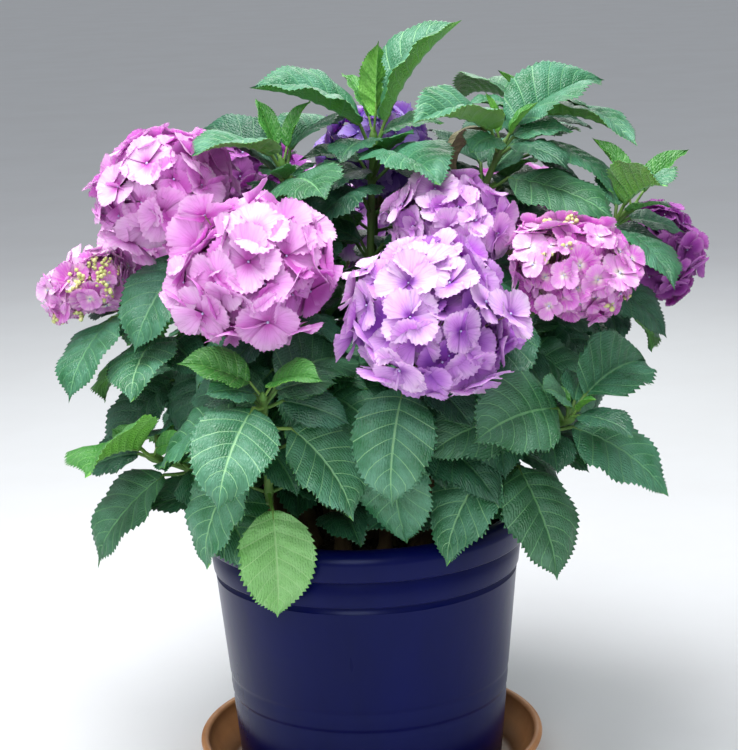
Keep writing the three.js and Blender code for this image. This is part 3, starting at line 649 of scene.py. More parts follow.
def make_canes():
    angles = 2 * math.pi * np.arange(CANE["sides"]) / CANE["sides"]
    heap = Heap()
    for shoot in SHOOTS:
        line, joint = shoot["line"], shoot["joint"]
        draw = seeded_stream(71 + 97 * shoot["number"])
        along = np.linspace(-CANE["below_soil"], joint, max(12, int(joint / CANE["ring_step"])))
        flare = 1 + (CANE["flare"] - 1) * np.clip(1 - along / CANE["flare_length"], 0, 1) ** 1.6
        radii = flare * between(CANE["foot_radius"], CANE["tip_radius"], np.clip(along / joint, 0, 1))
        nodes = np.arange(CANE_NODES["first"], joint - CANE_NODES["below_stem"], CANE_NODES["step"])
        for node in nodes + CANE_NODES["wander"] * draw():
            radii = radii + CANE_NODES["swell"] * swelling(along, node, CANE_NODES["half"])
        phase, up = 3 * draw(), along[:, None]
        relief = BARK["ridges"] * np.sin(5 * angles[None] + phase + up / 31)
        relief = relief + BARK["twist"] * np.sin(3 * angles[None] - up / 9 + 2 * phase)
        relief = relief + BARK["flakes"] * np.sin(up * 1.1 + 4 * np.sin(2 * angles[None] + phase))
        places = line.place(np.maximum(along, 0)) + np.minimum(along, 0)[:, None] * UP
        ways = line.way(np.maximum(along, 0))
        limb(heap, places, ways, radii, CANE["sides"], relief=relief * (radii[:, None] / BARK["on_radius"]))
    bark = new_material("cane_bark", Specular_IOR_Level=0.3)
    add_patches(bark, Colour=paint(74, 54, 38), Other=paint(110, 90, 62), Scale=60, Share=0.85,
                Roughness=0.7, Spread=0.15, Stretch=BARK_STRETCH)
    add_grain(bark, 0.0012, 0.7, Scale=420, Cells=0.35, Stretch=GRAIN_STRETCH)
    canes = heap.piece("woody_canes", [bark], "cane_bark", ["cane_" + s["name"] for s in SHOOTS], sharp=None)
    grown_by(scatter_tree("cane_pores", bark, PORE_SHAPE, 31), canes, "cane_pores", "cane_bark", **PORES)


make_canes()

# The rule by which leaves grow: in pairs up each stem, each on its own stalk, its blade bending down as it
# goes out and folded along its midrib. A leaf gives way to what is there before it, or is left out. Smaller
# ones then grow in the axils and low on the canes, and one withered leaf still hangs near the top.
LEAF = {"widest": 0.7, "base": 0.6, "point": 0.83, "tilt": 1.4, "stations": (0.15, 0.42, 0.72)}
FOLD = {"level": 16, "with_rise": 0.7, "least": 12, "most": 50}
DROOP = {"young": 16, "grown": 34}
FURL = 0.5
TOWARDS_LIGHT = 16
STALK = {"share": 0.2, "least": 8, "lift": 18, "steepest": 58, "follow": 0.45}
UNEVEN = {"turn": 4, "rise": 4, "droop": 8, "roll": 8, "fold": 6, "length": 0.05}
ROOM = {"clear": 4.5, "own_stem": 34, "stem_step": 12}
RIM_ROOM = {"above": 6, "outside": 7, "inside": 32, "above_soil": 8}
TRIES = ((1, 0.78), (0, -8, 8, -18, 18, -30), (0, 7, -7, 15, -15, 26, -26, 40, -40))
USUAL_TONES = "ml md dd dd"
AXIL = {"above": 3, "swing": 28, "rise": (34, 14), "size": 0.52}
BESIDE = {"below": 2, "rise": (-6, 20), "size": 0.6}
LOW_PAIRS = {"below": 36, "lowest": 30, "step": 40, "rise": (12, 16), "size": 0.82}
SMALL_HABIT = {"droop": (28, 8), "fold": (18, 6), "width": 0.68}
SMALL_TRIES = ((1,), (0, -10, 12), (0, 18, -18, 42, -42))
WITHERED = {"shoot": "top_right_leafy", "above": 6, "turn": 192, "rise": 8, "habit": (120, 12, 52, 0.6),
            "length": 64}
WITHERED_TRIES = ((1, 0.8), (0, -12, 12, -24), (0, 10, -10, 20, -20))


def outline(share):
    """Half the width of a leaf at a share of its length, as a share of its greatest half width."""
    peak = LEAF["base"] / (LEAF["base"] + LEAF["point"])
    share = np.clip(share, 0, 1)
    top = peak ** LEAF["base"] * (1 - peak) ** LEAF["point"]
    return share ** LEAF["base"] * (1 - share) ** LEAF["point"] / top


class LeafPlan:
    """Where one leaf goes: its stalk leaves the stem at root, and its blade bends down from rise by droop."""

    def __init__(self, root, way, turn, rise, habit, length):
        self.root, self.length, self.rise = root, length, math.radians(rise)
        self.droop, self.roll, self.fold, self.width = habit
        self.outward = np.array([math.cos(math.radians(turn)), math.sin(math.radians(turn)), 0.0])
        self.level = unit(np.cross(UP + way * LEAF["tilt"], self.outward))
        climb = math.radians(min(rise + STALK["lift"], STALK["steepest"]))
        start = self.outward * math.cos(climb) + UP * math.sin(climb) + way * STALK["follow"]
        self.base = root + unit(start) * (STALK["share"] * length + STALK["least"])

    def blade(self, share):
        """The midrib's places at shares of the length, and the ways along, across and out of the blade."""
        share = np.asarray(share, float)
        first, bend = self.rise, math.radians(self.droop)
        now = first - bend * share
        out = (self.length * (math.sin(first) - np.sin(now)) / bend)[..., None]
        up = (self.length * (np.cos(now) - math.cos(first)) / bend)[..., None]
        along = self.outward * np.cos(now)[..., None] + UP * np.sin(now)[..., None]
        side = unit(self.level - along * (along @ self.level)[..., None])
        roll = math.radians(self.roll)
        side = side * math.cos(roll) + np.cross(along, side) * math.sin(roll)
        return self.base + self.outward * out + UP * up, along, side, np.cross(along, side)

    def half(self, share):
        return self.width * self.length * outline(share) / 2


class LeafSurface:
    """The flat triangles and the edges that stand for a leaf when its room is tested."""

    def __init__(self, plan):
        middle, _, side, normal = plan.blade(np.array([*LEAF["stations"], 1.0]))
        half = plan.half(np.array(LEAF["stations"]))[:, None]
        fold = math.radians(plan.fold)
        left = middle[:3] + side[:3] * half * math.cos(fold) + normal[:3] * half * math.sin(fold)
        right = middle[:3] - side[:3] * half * math.cos(fold) + normal[:3] * half * math.sin(fold)
        base, tip, root = plan.base, middle[3], plan.root
        tris, edges = [], [(root, base)]
        for line in (left, middle[:3], right):
            edges += zip([base, *line], [*line, tip])
        for line, other in ((left, middle), (middle[:3], right)):
            edges += zip(line, other)
            tris += [(base, line[0], other[0]), (line[2], tip, other[2])]
            for i in range(2):
                tris += [(line[i], line[i + 1], other[i + 1]), (line[i], other[i + 1], other[i])]
        tris = np.array(tris)
        self.tip = tip
        self.corner, self.first, self.second = tris[:, 0], tris[:, 1] - tris[:, 0], tris[:, 2] - tris[:, 0]
        normals = np.cross(self.first, self.second)
        self.area = np.linalg.norm(normals, axis=1)
        self.normal = normals / self.area[:, None]
        self.starts, self.ends = np.array([e[0] for e in edges]), np.array([e[1] for e in edges])
        corners = np.array([base, tip, *left, *middle[:3], *right])
        self.samples = np.concatenate([corners, tris.mean(1)])
        spread = np.concatenate([[root], corners])
        self.center = (spread.min(0) + spread.max(0)) / 2
        self.radius = np.linalg.norm(spread - self.center, axis=1).max()


FACETS = ("corner", "first", "second", "area", "normal")
PAST_EDGE = 0.02


def inside(facets, points):
    """Whether points in the planes of triangles lie inside them, or just past their edges, one by one."""
    corner, first, second, area, normal = facets
    arm = points - corner
    u = (np.cross(arm, second) * normal).sum(-1) / area
    v = (np.cross(first, arm) * normal).sum(-1) / area
    return (u > -PAST_EDGE) & (v > -PAST_EDGE) & (u + v < 1 + PAST_EDGE)


def near(facets, points, reach):
    """Whether any point lies within reach of any triangle."""
    facets = [f[:, None] for f in facets]
    points = points[None]
    away = np.abs(((points - facets[0]) * facets[4]).sum(-1))
    return bool(((away < reach) & inside(facets, points)).any())


def pierces(facets, starts, ends):
    """Whether any edge goes through any triangle."""
    facets = [f[:, None] for f in facets]
    before = ((starts[None] - facets[0]) * facets[4]).sum(-1)
    after = ((ends[None] - facets[0]) * facets[4]).sum(-1)
    through = before * after < 0
    share = np.where(through, before / np.where(through, before - after, 1), 0)[..., None]
    return bool((through & inside(facets, starts[None] + (ends - starts)[None] * share)).any())


def facets_of(surfaces):
    return [np.concatenate([getattr(s, name) for s in surfaces]) for name in FACETS]


def in_pot(points):
    across, rim = np.hypot(points[:, 0], points[:, 1]), POT["lip_radius"]
    level = (points[:, 2] <= POT_TOP + RIM_ROOM["above"]) & (across <= rim + RIM_ROOM["outside"])
    low = points[:, 2] < SOIL_TOP + RIM_ROOM["above_soil"]
    return bool((level & ((across > rim - RIM_ROOM["inside"]) | low)).any())


def in_head(shoot, points):
    arm = points - shoot["middle"]
    along = arm @ shoot["facing"]
    across = np.sqrt(np.maximum(0, (arm**2).sum(-1) - along**2))
    wide, tall = shoot["head"]
    return bool((np.hypot(along / (tall + ROOM["clear"]), across / (wide + ROOM["clear"])) < 1).any())


def stem_points(shoot):
    steps = math.ceil(shoot["neck"] / ROOM["stem_step"])
    along = shoot["neck"] * np.arange(steps + 1) / steps
    return shoot["line"].place(along), along, np.full(len(along), shoot["number"])


STEMS = [np.concatenate(group) for group in zip(*(stem_points(shoot) for shoot in SHOOTS))]
HEADS = [shoot for shoot in SHOOTS if shoot["head"]]


def has_room(surface, grown, shoot, mark):
    if in_pot(surface.samples) or any(in_head(head, surface.samples) for head in HEADS):
        return False
    reach = CANE["foot_radius"] + ROOM["clear"]
    places, along, owner = STEMS
    other = ~((owner == shoot["number"]) & (np.abs(along - mark) < ROOM["own_stem"]))
    close = other & (np.linalg.norm(places - surface.center, axis=1) <= surface.radius + reach)
    own = facets_of([surface])
    if close.any() and near(own, places[close], reach):
        return False
    around = [
        s for s in grown if ((s.center - surface.center) ** 2).sum() <= (s.radius + surface.radius) ** 2
    ]
    if not around:
        return True
    theirs = facets_of(around)
    starts, ends = np.concatenate([s.starts for s in around]), np.concatenate([s.ends for s in around])
    if pierces(theirs, surface.starts, surface.ends) or pierces(own, starts, ends):
        return False
    if near(theirs, surface.samples, ROOM["clear"]):
        return False
    return not near(own, np.concatenate([s.samples for s in around]), ROOM["clear"])


def first_with_room(grown, shoot, mark, turn, rise, habit, length, tries=TRIES):
    """The leaf nearest to the one asked for that has room, by sizes, rises and turns to try in that order."""
    root, way = shoot["line"].place(mark), shoot["line"].way(mark)
    for size, lift, swing in itertools.product(*tries):
        plan = LeafPlan(root, way, turn + swing, rise + lift, habit, length * size)
        surface = LeafSurface(plan)
        if has_room(surface, grown, shoot, mark):
            grown.append(surface)
            return plan
    return None


def solid_points(shoot):
    """The points of a shoot's leafy solid, in millimetres."""
    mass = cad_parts["leaves_" + shoot["name"]].data
    points = np.empty(len(mass.vertices) * 3)
    mass.vertices.foreach_get("co", points)
    return points.reshape(-1, 3) / MM


def grow_leaves(grown, leaves):
    """Every leaf that finds room, shoot by shoot from the top pair down, if the solids have it as well."""
    for shoot in SHOOTS:
        draw = seeded_stream(1009 + 271 * shoot["number"])
        solid = solid_points(shoot)
        tones = shoot.get("tones", USUAL_TONES).split()
        for (mark, young, pair_leaves), pair_tones in zip(shoot["marks"], tones):
            for (face_turn, face_rise), tone in zip(pair_leaves, pair_tones):
                turn = face_turn + UNEVEN["turn"] * draw()
                rise = face_rise + UNEVEN["rise"] * draw()
                furled = FURL * max(0, math.sin(math.radians(rise))) if young else 0
                fold = max(FOLD["least"], FOLD["level"] + FOLD["with_rise"] * rise)
                droop = (DROOP["young"] if young else DROOP["grown"]) + UNEVEN["droop"] * draw()
                roll = TOWARDS_LIGHT * math.cos(math.radians(turn)) + UNEVEN["roll"] * draw()
                fold = min(FOLD["most"], fold) + UNEVEN["fold"] * draw()
                length = (shoot["young"] if young else shoot["leaf"]) * (1 + UNEVEN["length"] * draw())
                habit = (droop, roll, fold, LEAF["widest"] * (1 - furled))
                plan = first_with_room(grown, shoot, mark, turn, rise, habit, length)
                if plan and np.linalg.norm(solid - grown[-1].tip, axis=1).min() < 1:
                    leaves.append((plan, shoot, young, tone, True))


def add_withered(grown, leaves):
    """The one dead leaf, brown and curled up, that still hangs between the two tallest leafy shoots."""
    shoot = next(s for s in SHOOTS if s["name"] == WITHERED["shoot"])
    mark = shoot["marks"][1][0] + WITHERED["above"]
    asked = (WITHERED[k] for k in ("turn", "rise", "habit", "length"))
    plan = first_with_room(grown, shoot, mark, *asked, WITHERED_TRIES)
    if plan:
        leaves.append((plan, shoot, False, "w", True))


def grow_finer(grown, leaves):
    """The finer growth that the solids leave out: small leaves in the axils, old ones low on the canes."""
    for shoot in SHOOTS:
        draw = seeded_stream(3301 + 173 * shoot["number"])
        wanted = []

        def about(middle, spread):
            return middle + spread * draw()

        def wish(mark, turn, kind, tone):
            wanted.append((mark, turn, about(*kind["rise"]), kind["size"], tone))

        for mark, young, pair_leaves in shoot["marks"]:
            if not young:
                for turn, _ in pair_leaves:
                    wish(mark + AXIL["above"], about(turn, AXIL["swing"]), AXIL, "m")
                for turn, _ in pair_leaves:
                    wish(mark - BESIDE["below"], turn + 90, BESIDE, "d")
        low = min(mark for mark, _, _ in shoot["marks"]) - LOW_PAIRS["below"]
        spin = 180 * draw()
        while low > LOW_PAIRS["lowest"]:
            for turn in (spin, spin + 180):
                wish(low, turn, LOW_PAIRS, "d")
            low, spin = low - LOW_PAIRS["step"], spin + 90
        for mark, turn, rise, size, tone in wanted:
            roll = TOWARDS_LIGHT * math.cos(math.radians(turn))
            habit = (about(*SMALL_HABIT["droop"]), roll, about(*SMALL_HABIT["fold"]), SMALL_HABIT["width"])
            plan = first_with_room(grown, shoot, mark, turn, rise, habit, shoot["leaf"] * size, SMALL_TRIES)
            if plan:
                leaves.append((plan, shoot, False, tone, False))


SURFACES, LEAVES = [], []
grow_leaves(SURFACES, LEAVES)
add_withered(SURFACES, LEAVES)
grow_finer(SURFACES, LEAVES)

# The leaves. Thick, toothed and quilted: the blade bulges up between sunken side veins that curve towards the
# point, and is paler beneath, partly in its own colour and partly as painted light shining through it. A
# painted sheen on the blade stands for the sky's reflection. Young leaves at the tips are bright and folded,
# old ones inside are dark.
VEIN = {"count": 7, "half": 0.0036, "first": 0.075, "run": 0.83, "past_last": 0.35, "spacing": 1.06,
        "reach": 0.23, "curve": 1.15}
BLADE_ROOT = (0.006, 0.034)
BLADE = {"thick": 0.7, "quilt": 2.1, "sunk": 0.8, "puff": 0.07, "lie": (0.16, 0.1), "crease": 0.12,
         "uneven": 0.03, "usual": 110}
MIDRIB = {"sunk": 0.7, "half": 0.06}
RIBS = {"high": 0.8, "side": 0.7, "middle": 1.3, "half": 0.05}
WAVE = {"high": 2.6, "count": (5.5, 1.5), "apart": 0.9}
DRIP_TIP = {"from": 0.8, "slim": 0.5, "reach": 1.04}
TIP_CURL = {"from": 0.7, "over": 0.3, "fall": 0.05}
TOOTH = {"first_row": 3, "long": 3.4, "share": 0.66, "ahead": 0.72, "forward": 0.3}
YOUNG_BREADTH = 1.25
BLADE_KINDS = ("blade", "vein", "under", "rib")
SKIN_ROUGHNESS = {"blade": 0.33, "under": 0.6}
# Each tone's colours are its blade, the painted sheen on it (a painted reflection of the sky), its veins, and
# its underside, paler in its own right and brightened further as painted light shining through: g is a warmer
# plain leaf, w the withered one.
LEAF_TONES = {
    "d": (paint(28, 76, 50), paint(70, 128, 100), paint(72, 120, 78), paint(60, 108, 60)),
    "m": (paint(42, 106, 62), paint(98, 162, 132), paint(104, 160, 106), paint(92, 162, 62)),
    "l": (paint(50, 116, 70), paint(114, 174, 146), paint(140, 192, 132), paint(122, 194, 70)),
    "f": (paint(126, 194, 102), paint(166, 218, 150), paint(160, 208, 136), paint(116, 186, 76)),
    "g": (paint(50, 106, 64), paint(92, 146, 116), paint(110, 166, 108), paint(92, 162, 64)),
    "w": (paint(136, 126, 92), paint(206, 198, 160), paint(84, 70, 50), paint(150, 138, 104)),
    "y": (paint(52, 124, 40), paint(92, 158, 78), paint(122, 180, 92), paint(116, 190, 64)),
}
WARMER_EVERY = 3
# How far the quilting's ridges take the other colour, which on the blade is a painted sheen.
QUILTING_SHOWS = {"start": 0.4, "end": 0.8, "most": 0.1}
SHOOTS_TO_A_PIECE = 6


def vein_share(vein):
    """How far up the veined part of the midrib a side vein leaves it."""
    return (vein / (VEIN["count"] - VEIN["past_last"])) ** VEIN["spacing"]


class BladeMesh:
    """The rows, columns and faces of one kind of blade. Its two sides share their rim, tip and teeth."""

    def __init__(self, columns, between_veins):
        self.set_rows(between_veins)
        self.columns = np.array([-c for c in columns[:0:-1]] + list(columns))
        self.tall, self.wide = len(self.rows), len(self.columns)
        toothed = [row for row in range(TOOTH["first_row"], self.tall - 1) if row not in self.veins]
        self.teeth = [(row, column) for row in toothed for column in (0, self.wide - 1)]
        self.faces, self.kinds = {3: [], 4: []}, {3: [], 4: []}
        for row in range(self.tall - 1):
            for column in range(self.wide - 1):
                self.put([(row, column), (row + 1, column), (row + 1, column + 1), (row, column + 1)])
        for column in range(self.wide - 1):
            self.put([(self.tall - 1, column), (self.tall, 0), (self.tall - 1, column + 1)])
        for number, (row, column) in enumerate(self.teeth):
            first, last = self.at(row + (column > 0), column), self.at(row + (column == 0), column)
            upper = self.at(self.tall, 0) + 1 + 2 * number
            lower = upper + 1
            self.faces[3] += [(first, upper, last), (first, last, lower)]
            self.faces[3] += [(upper, first, lower), (last, upper, lower)]
            self.kinds[3] += [0, 2, 2, 2]
        cap = [self.at(0, column) for column in range(self.wide)]
        cap += [self.at(0, column, True) for column in range(self.wide - 2, 0, -1)]
        self.faces[len(cap)], self.kinds[len(cap)] = [cap], [3]
        self.faces = {corners: np.array(faces) for corners, faces in self.faces.items()}
        self.kinds = {corners: np.array(kinds) for corners, kinds in self.kinds.items()}

    def set_rows(self, between_veins):
        """Where each row leaves the midrib, where side veins begin, and how far each row sinks or bulges."""
        rows, self.veins = list(BLADE_ROOT), []
        sunk, bulge = [0] * len(rows), [0] * len(rows)
        for vein in range(VEIN["count"]):
            at = VEIN["first"] + VEIN["run"] * vein_share(vein)
            step = VEIN["run"] * (vein_share(vein + 1) - vein_share(vein))
            self.veins.append(len(rows))
            rows += [at - VEIN["half"], at + VEIN["half"]]
            rows += [at + step * (k + 1) / (between_veins + 1) for k in range(between_veins)]
            sunk += [1, 1] + [0] * between_veins
            bulge += [0, 0]
            bulge += [math.sin(math.pi * (k + 1) / (between_veins + 1)) for k in range(between_veins)]
        self.rows, self.sunk, self.bulge = np.array(rows), np.array(sunk)[:, None], np.array(bulge)[:, None]

    def at(self, row, column, low=False):
        """The number of a point, row by row: first on the upper side, then on the lower, within its rim."""
        if row == self.tall:
            return self.tall * (2 * self.wide - 2)
        if low and 0 < column < self.wide - 1:
            return self.tall * self.wide + row * (self.wide - 2) + column - 1
        return row * self.wide + column

    def put(self, places):
        """Adds one face on top and its fellow beneath, with their kinds as BLADE_KINDS counts them."""
        row, column = places[0]
        vein = row in self.veins or column in (self.wide // 2 - 1, self.wide // 2)
        upper = [self.at(*place) for place in places]
        lower = [self.at(*place, True) for place in places]
        self.faces[len(places)] += [upper, lower[:1] + lower[:0:-1]]
        self.kinds[len(places)] += [int(vein), 2 + int(vein)]


SHOWN_BLADE = BladeMesh((0, 0.03, 0.22, 0.46, 0.72, 1), 2)
SMALL_BLADE = BladeMesh((0, 0.05, 0.5, 1), 1)


def blade_points(mesh, plan, draw, breadth):
    """All the points of one leaf's blade in the order that its faces name them, and their map places."""
    rows, across = mesh.rows[:, None], mesh.columns[None]
    size, sign, scale = np.abs(across), np.sign(across), plan.length / BLADE["usual"]
    share = rows + VEIN["reach"] * 4 * rows * (1 - rows) * size ** VEIN["curve"]
    middle, along, side, normal = plan.blade(share)
    slim = np.clip((share - DRIP_TIP["from"]) / (1 - DRIP_TIP["from"]), 0, 1)
    half = breadth * plan.half(share) * (1 + BLADE["uneven"] * draw()) * (1 - DRIP_TIP["slim"] * slim**1.3)
    fold = math.radians(plan.fold)
    out = side * (half * across * math.cos(fold))[..., None]
    out = out + normal * (half * size * math.sin(fold))[..., None]
    crease = np.tanh(size / BLADE["crease"]) * sign
    face_normal = unit(normal * math.cos(fold) - side * (math.sin(fold) * crease)[..., None])
    phase, count = math.pi * draw(), WAVE["count"][0] + WAVE["count"][1] * draw()
    puff = np.sin(math.pi * size) * half * BLADE["puff"] * (1 + draw())
    lie = -half * (BLADE["lie"][0] + BLADE["lie"][1] * draw()) * size**2
    wave = WAVE["high"] * scale * size**2.2 * np.sin(count * math.pi * share + phase + sign * WAVE["apart"])
    fall = np.clip(1 - share, 0, 1) ** 0.5
    body = np.sin(math.pi * (size * 0.9 + 0.04)) ** 0.6
    relief = (BLADE["quilt"] * mesh.bulge - BLADE["sunk"] * mesh.sunk) * body * fall * scale
    relief = relief - MIDRIB["sunk"] * scale * swelling(size, 0, MIDRIB["half"])
    tip_share = np.clip((share - TIP_CURL["from"]) / TIP_CURL["over"], 0, 1)
    tip_curl = -TIP_CURL["fall"] * plan.length * tip_share**2 * (1 + draw())
    lift = (puff + lie + wave + relief)[..., None]
    place = middle + out + face_normal * lift + normal * tip_curl[..., None]
    ribs = mesh.sunk * (1 - size) * RIBS["side"] + swelling(size, 0, RIBS["half"]) * RIBS["middle"]
    under = place - face_normal * (BLADE["thick"] + RIBS["high"] * ribs * scale * fall)[..., None]
    tip_place, _, _, tip_normal = plan.blade(DRIP_TIP["reach"])
    tip = tip_place + tip_normal * tip_curl[-1, 0]
    teeth = []
    for row, column in mesh.teeth:
        here, ahead = place[row, column], place[row + 1, column] - place[row, column]
        long = min(TOOTH["long"], TOOTH["share"] * np.linalg.norm(ahead))
        way = unit(side[row, column] * (1 if column else -1) + TOOTH["forward"] * along[row, column])
        tooth = here + ahead * TOOTH["ahead"] + way * long * scale
        teeth += [tooth, tooth - face_normal[row, column] * BLADE["thick"] / 2]
    points = np.concatenate([place.reshape(-1, 3), under[:, 1:-1].reshape(-1, 3), [tip], teeth])
    level = np.stack([half * across, rows * plan.length * np.ones_like(across)], -1) / 100
    flat = [level.reshape(-1, 2), level[:, 1:-1].reshape(-1, 2), [[0, plan.length / 100]]]
    return points, np.concatenate(flat + [[level[place]] * 2 for place in mesh.teeth])


def quilting_effect():
    """The fine ladder of small veins between a leaf's side veins, as ridges from 0 to 1."""
    tree, given, result = effect_group("leaf_quilting", {"Pitch": 2.6, "Cell": 3.0}, {"Ridges": "Float"})
    place = add_node(tree, "ShaderNodeUVMap", uv_map="blade").outputs[0]
    ladder = add_node(tree, "ShaderNodeTexWave", {
        "Vector": place, "Scale": reckon(tree, "DIVIDE", 10 * math.pi, given["Pitch"]), "Distortion": 5,
        "Detail Scale": 1.6,
    })
    cells = add_node(tree, "ShaderNodeTexVoronoi", {
        "Vector": place, "Scale": reckon(tree, "DIVIDE", 100, given["Cell"]),
    }, voronoi_dimensions="2D", feature="DISTANCE_TO_EDGE")
    raised = add_node(tree, "ShaderNodeMapRange", {"Value": cells.outputs["Distance"], "From Max": 0.3})
    both = add_node(tree, "ShaderNodeMix", {
        "Factor": 0.5, 2: ladder.outputs["Fac"], 3: raised.outputs["Result"],
    })
    tree.links.new(both.outputs[0], result["Ridges"])
    return tree


QUILTING = quilting_effect()


def add_quilting(material, patches, sheen):
    """Lays the small veins over a leaf's patches, and in relief: the ridges between them take the other
    colour, a painted sheen on the blade and the veins' own colour on the underside.
    """
    tree = material.node_tree
    ridges = add_node(tree, "ShaderNodeGroup", node_tree=QUILTING).outputs["Ridges"]
    add_relief(material, ridges, 0.0006)
    to_shader(material, "Base Color", blend(tree, ridges, patches, sheen, **QUILTING_SHOWS))


def leaf_materials():
    """The materials of every tone of leaf, four to a tone in the order of BLADE_KINDS."""
    made = []
    for tone, (blade, sheen, vein, under) in LEAF_TONES.items():
        # Blade and veins are mottled with the painted sheen, a painted reflection of the sky; the underside
        # with its veins' colour, and the ribs with the underside's.
        pairs = (blade, sheen), (vein, sheen), (under, vein), (vein, under)
        for kind, (colour, other) in zip(BLADE_KINDS, pairs):
            material = new_material("leaf_" + tone + "_" + kind, Specular_IOR_Level=0.55)
            if kind in SKIN_ROUGHNESS:
                patches = add_patches(material, Colour=colour, Other=other, Scale=34, Share=0.6,
                                      Roughness=SKIN_ROUGHNESS[kind], Spread=0.12)
                add_quilting(material, patches, other)
            else:
                add_patches(material, Colour=colour, Other=other, Scale=200, Share=0.4,
                            Roughness=0.45, Spread=0.1)
            made.append(material)
    return made


def make_leaves():
    """Makes every blade. Plain leaves are of two greens, one of them warmer."""
    materials, tones, heaps = leaf_materials(), list(LEAF_TONES), {}
    for number, (plan, shoot, _, tone, shown) in enumerate(LEAVES):
        draw = seeded_stream(8101 + 37 * number)
        heap = heaps.setdefault(shoot["number"] // SHOOTS_TO_A_PIECE, Heap())
        mesh = SHOWN_BLADE if shown else SMALL_BLADE
        tone = "g" if tone == "m" and number % WARMER_EVERY == 0 else tone
        points, places = blade_points(mesh, plan, draw, YOUNG_BREADTH if tone == "y" else 1)
        first = len(BLADE_KINDS) * tones.index(tone)
        kinds = {corners: first + kinds for corners, kinds in mesh.kinds.items()}
        heap.add(points, mesh.faces, kinds, places)
    for group, heap in sorted(heaps.items()):
        names = ["leaves_" + s["name"] for s in SHOOTS if s["number"] // SHOOTS_TO_A_PIECE == group]
        heap.piece("leaf_blades_" + str(group + 1), materials, "leaf_green", names, sharp=100)


make_leaves()

# The green stems. The year's soft growth above each cane, swollen at every pair of leaves, and the grooved
# stalks that clasp it and carry the blades.
STEM = {"sides": 10, "ring_step": 3, "below_joint": 4, "into_head": 0.35, "swell": 1.3, "swell_half": 4,
        "tip_length": 6, "tip": 0.25}
LEAF_STALK = {"sides": 6, "rings": 7, "grown": 1.7, "young": 1.2, "clasp": 0.7, "flare": 0.12, "sag": -0.035}
STALK_UNDER_BLADE = {"shares": (0.05, 0.12, 0.2), "radii": (0.85, 0.65, 0.35), "below": 1.6}


def add_stem(heap, shoot):
    """One shoot's green stem, from its cane up into its flower head or its last pair of leaves."""
    line, joint, neck = shoot["line"], shoot["joint"], shoot["neck"]
    end = line.length - STEM["into_head"] * shoot["head"][1] if shoot["head"] else neck
    along = np.linspace(joint - STEM["below_joint"], end, max(10, int((end - joint) / STEM["ring_step"])))
    share = np.clip((along - joint) / (neck - joint), 0, 1)
    radii = between(SHOOT["root_radius"], SHOOT["tip_radius"], share)
    for mark, _, _ in shoot["marks"]:
        radii = radii + STEM["swell"] * swelling(along, mark, STEM["swell_half"])
    if not shoot["head"]:
        radii = radii * np.clip((end - along) / STEM["tip_length"], STEM["tip"], 1) ** 0.5
    limb(heap, line.place(along), line.way(along), radii, STEM["sides"])


def add_stalk(heap, plan, young, tone):
    """One leaf's stalk, which clasps the stem and runs out under the blade's midrib."""
    thick = LEAF_STALK["young"] if young else LEAF_STALK["grown"]
    share = np.linspace(0, 1, LEAF_STALK["rings"])
    run = plan.base - plan.root
    sag = np.sin(math.pi * share)[:, None] * UP * LEAF_STALK["sag"] * np.linalg.norm(run)
    middle, _, _, normal = plan.blade(np.array(STALK_UNDER_BLADE["shares"]))
    under_blade = middle - normal * STALK_UNDER_BLADE["below"]
    places = np.concatenate([plan.root + run * share[:, None] + sag, under_blade])
    free = 1 + LEAF_STALK["clasp"] * (1 - share) ** 6 + LEAF_STALK["flare"] * share
    radii = np.concatenate([thick * free, thick * np.array(STALK_UNDER_BLADE["radii"])])
    limb(heap, places, unit(np.gradient(places, axis=0)), radii, LEAF_STALK["sides"], int(tone in "lfy"))


def make_stems():
    heap = Heap()
    for shoot in SHOOTS:
        add_stem(heap, shoot)
    for plan, _, young, tone, _ in LEAVES:
        add_stalk(heap, plan, young, tone)
    green = new_material("stem_green", Specular_IOR_Level=0.4)
    add_patches(green, Colour=paint(88, 136, 58), Other=paint(96, 100, 62), Scale=120, Share=0.6,
                Roughness=0.5, Spread=0.1, Stretch=(1, 1, 0.4))
    add_grain(green, 0.0006, 0.3, Scale=500, Cells=0.3, Stretch=(1, 1, 0.3))
    pale = new_material("stalk_green", Specular_IOR_Level=0.4)
    add_patches(pale, Colour=paint(124, 160, 78), Other=paint(96, 136, 60), Scale=90, Share=0.6,
                Roughness=0.45, Spread=0.1)
    heap.piece("green_stems", [green, pale], "leaf_green", sharp=None)


make_stems()

# The flower heads. Each is a rounded mop of florets on thin branching stalks. A floret is four broad
# overlapping sepals, finely toothed and a little cupped, round a small pale bead. The tone differs from head
# to head, and two heads still have clusters of green buds between florets that are only opening.
SEPAL = {"thick": 0.4, "fan": 54, "shoulder": 0.3, "tooth": 0.07, "ruffle": 0.055, "cup": (0.13, 0.13),
         "curl": 0.05, "over": 1.3, "tilt": 9, "roll": 7}
SEPAL_ROWS = np.array([0.06, 0.3, 0.55, 0.8, 1.0])
SEPAL_COLUMNS = np.linspace(-1, 1, 7)
TOOTH_SHARES = (0.2, 0.52, 0.84)
TOOTH_REACH = (1.0, 0.0, 0.8)
FLORETS = {"spread": 132, "size": 0.72, "largest": 60, "area": 1.62, "cover": 2.2, "tilt": 34,
           "lean": 0.7, "swing": 0.12, "sunk": (0.1, 0.3), "inner": 16, "lumps": 0.09,
           "uneven": 0.17, "bead": 1.6}
GOLDEN_TURN = 3 - math.sqrt(5)
OPENING = {"inner_size": 36, "uneven": 0.3, "share": 0.5, "edge": 0.06, "sunk": (0.95, 0.6)}
FLORET_STALK = {"radius": 0.8, "sides": 3, "fork": 0.45, "bend": 0.3}
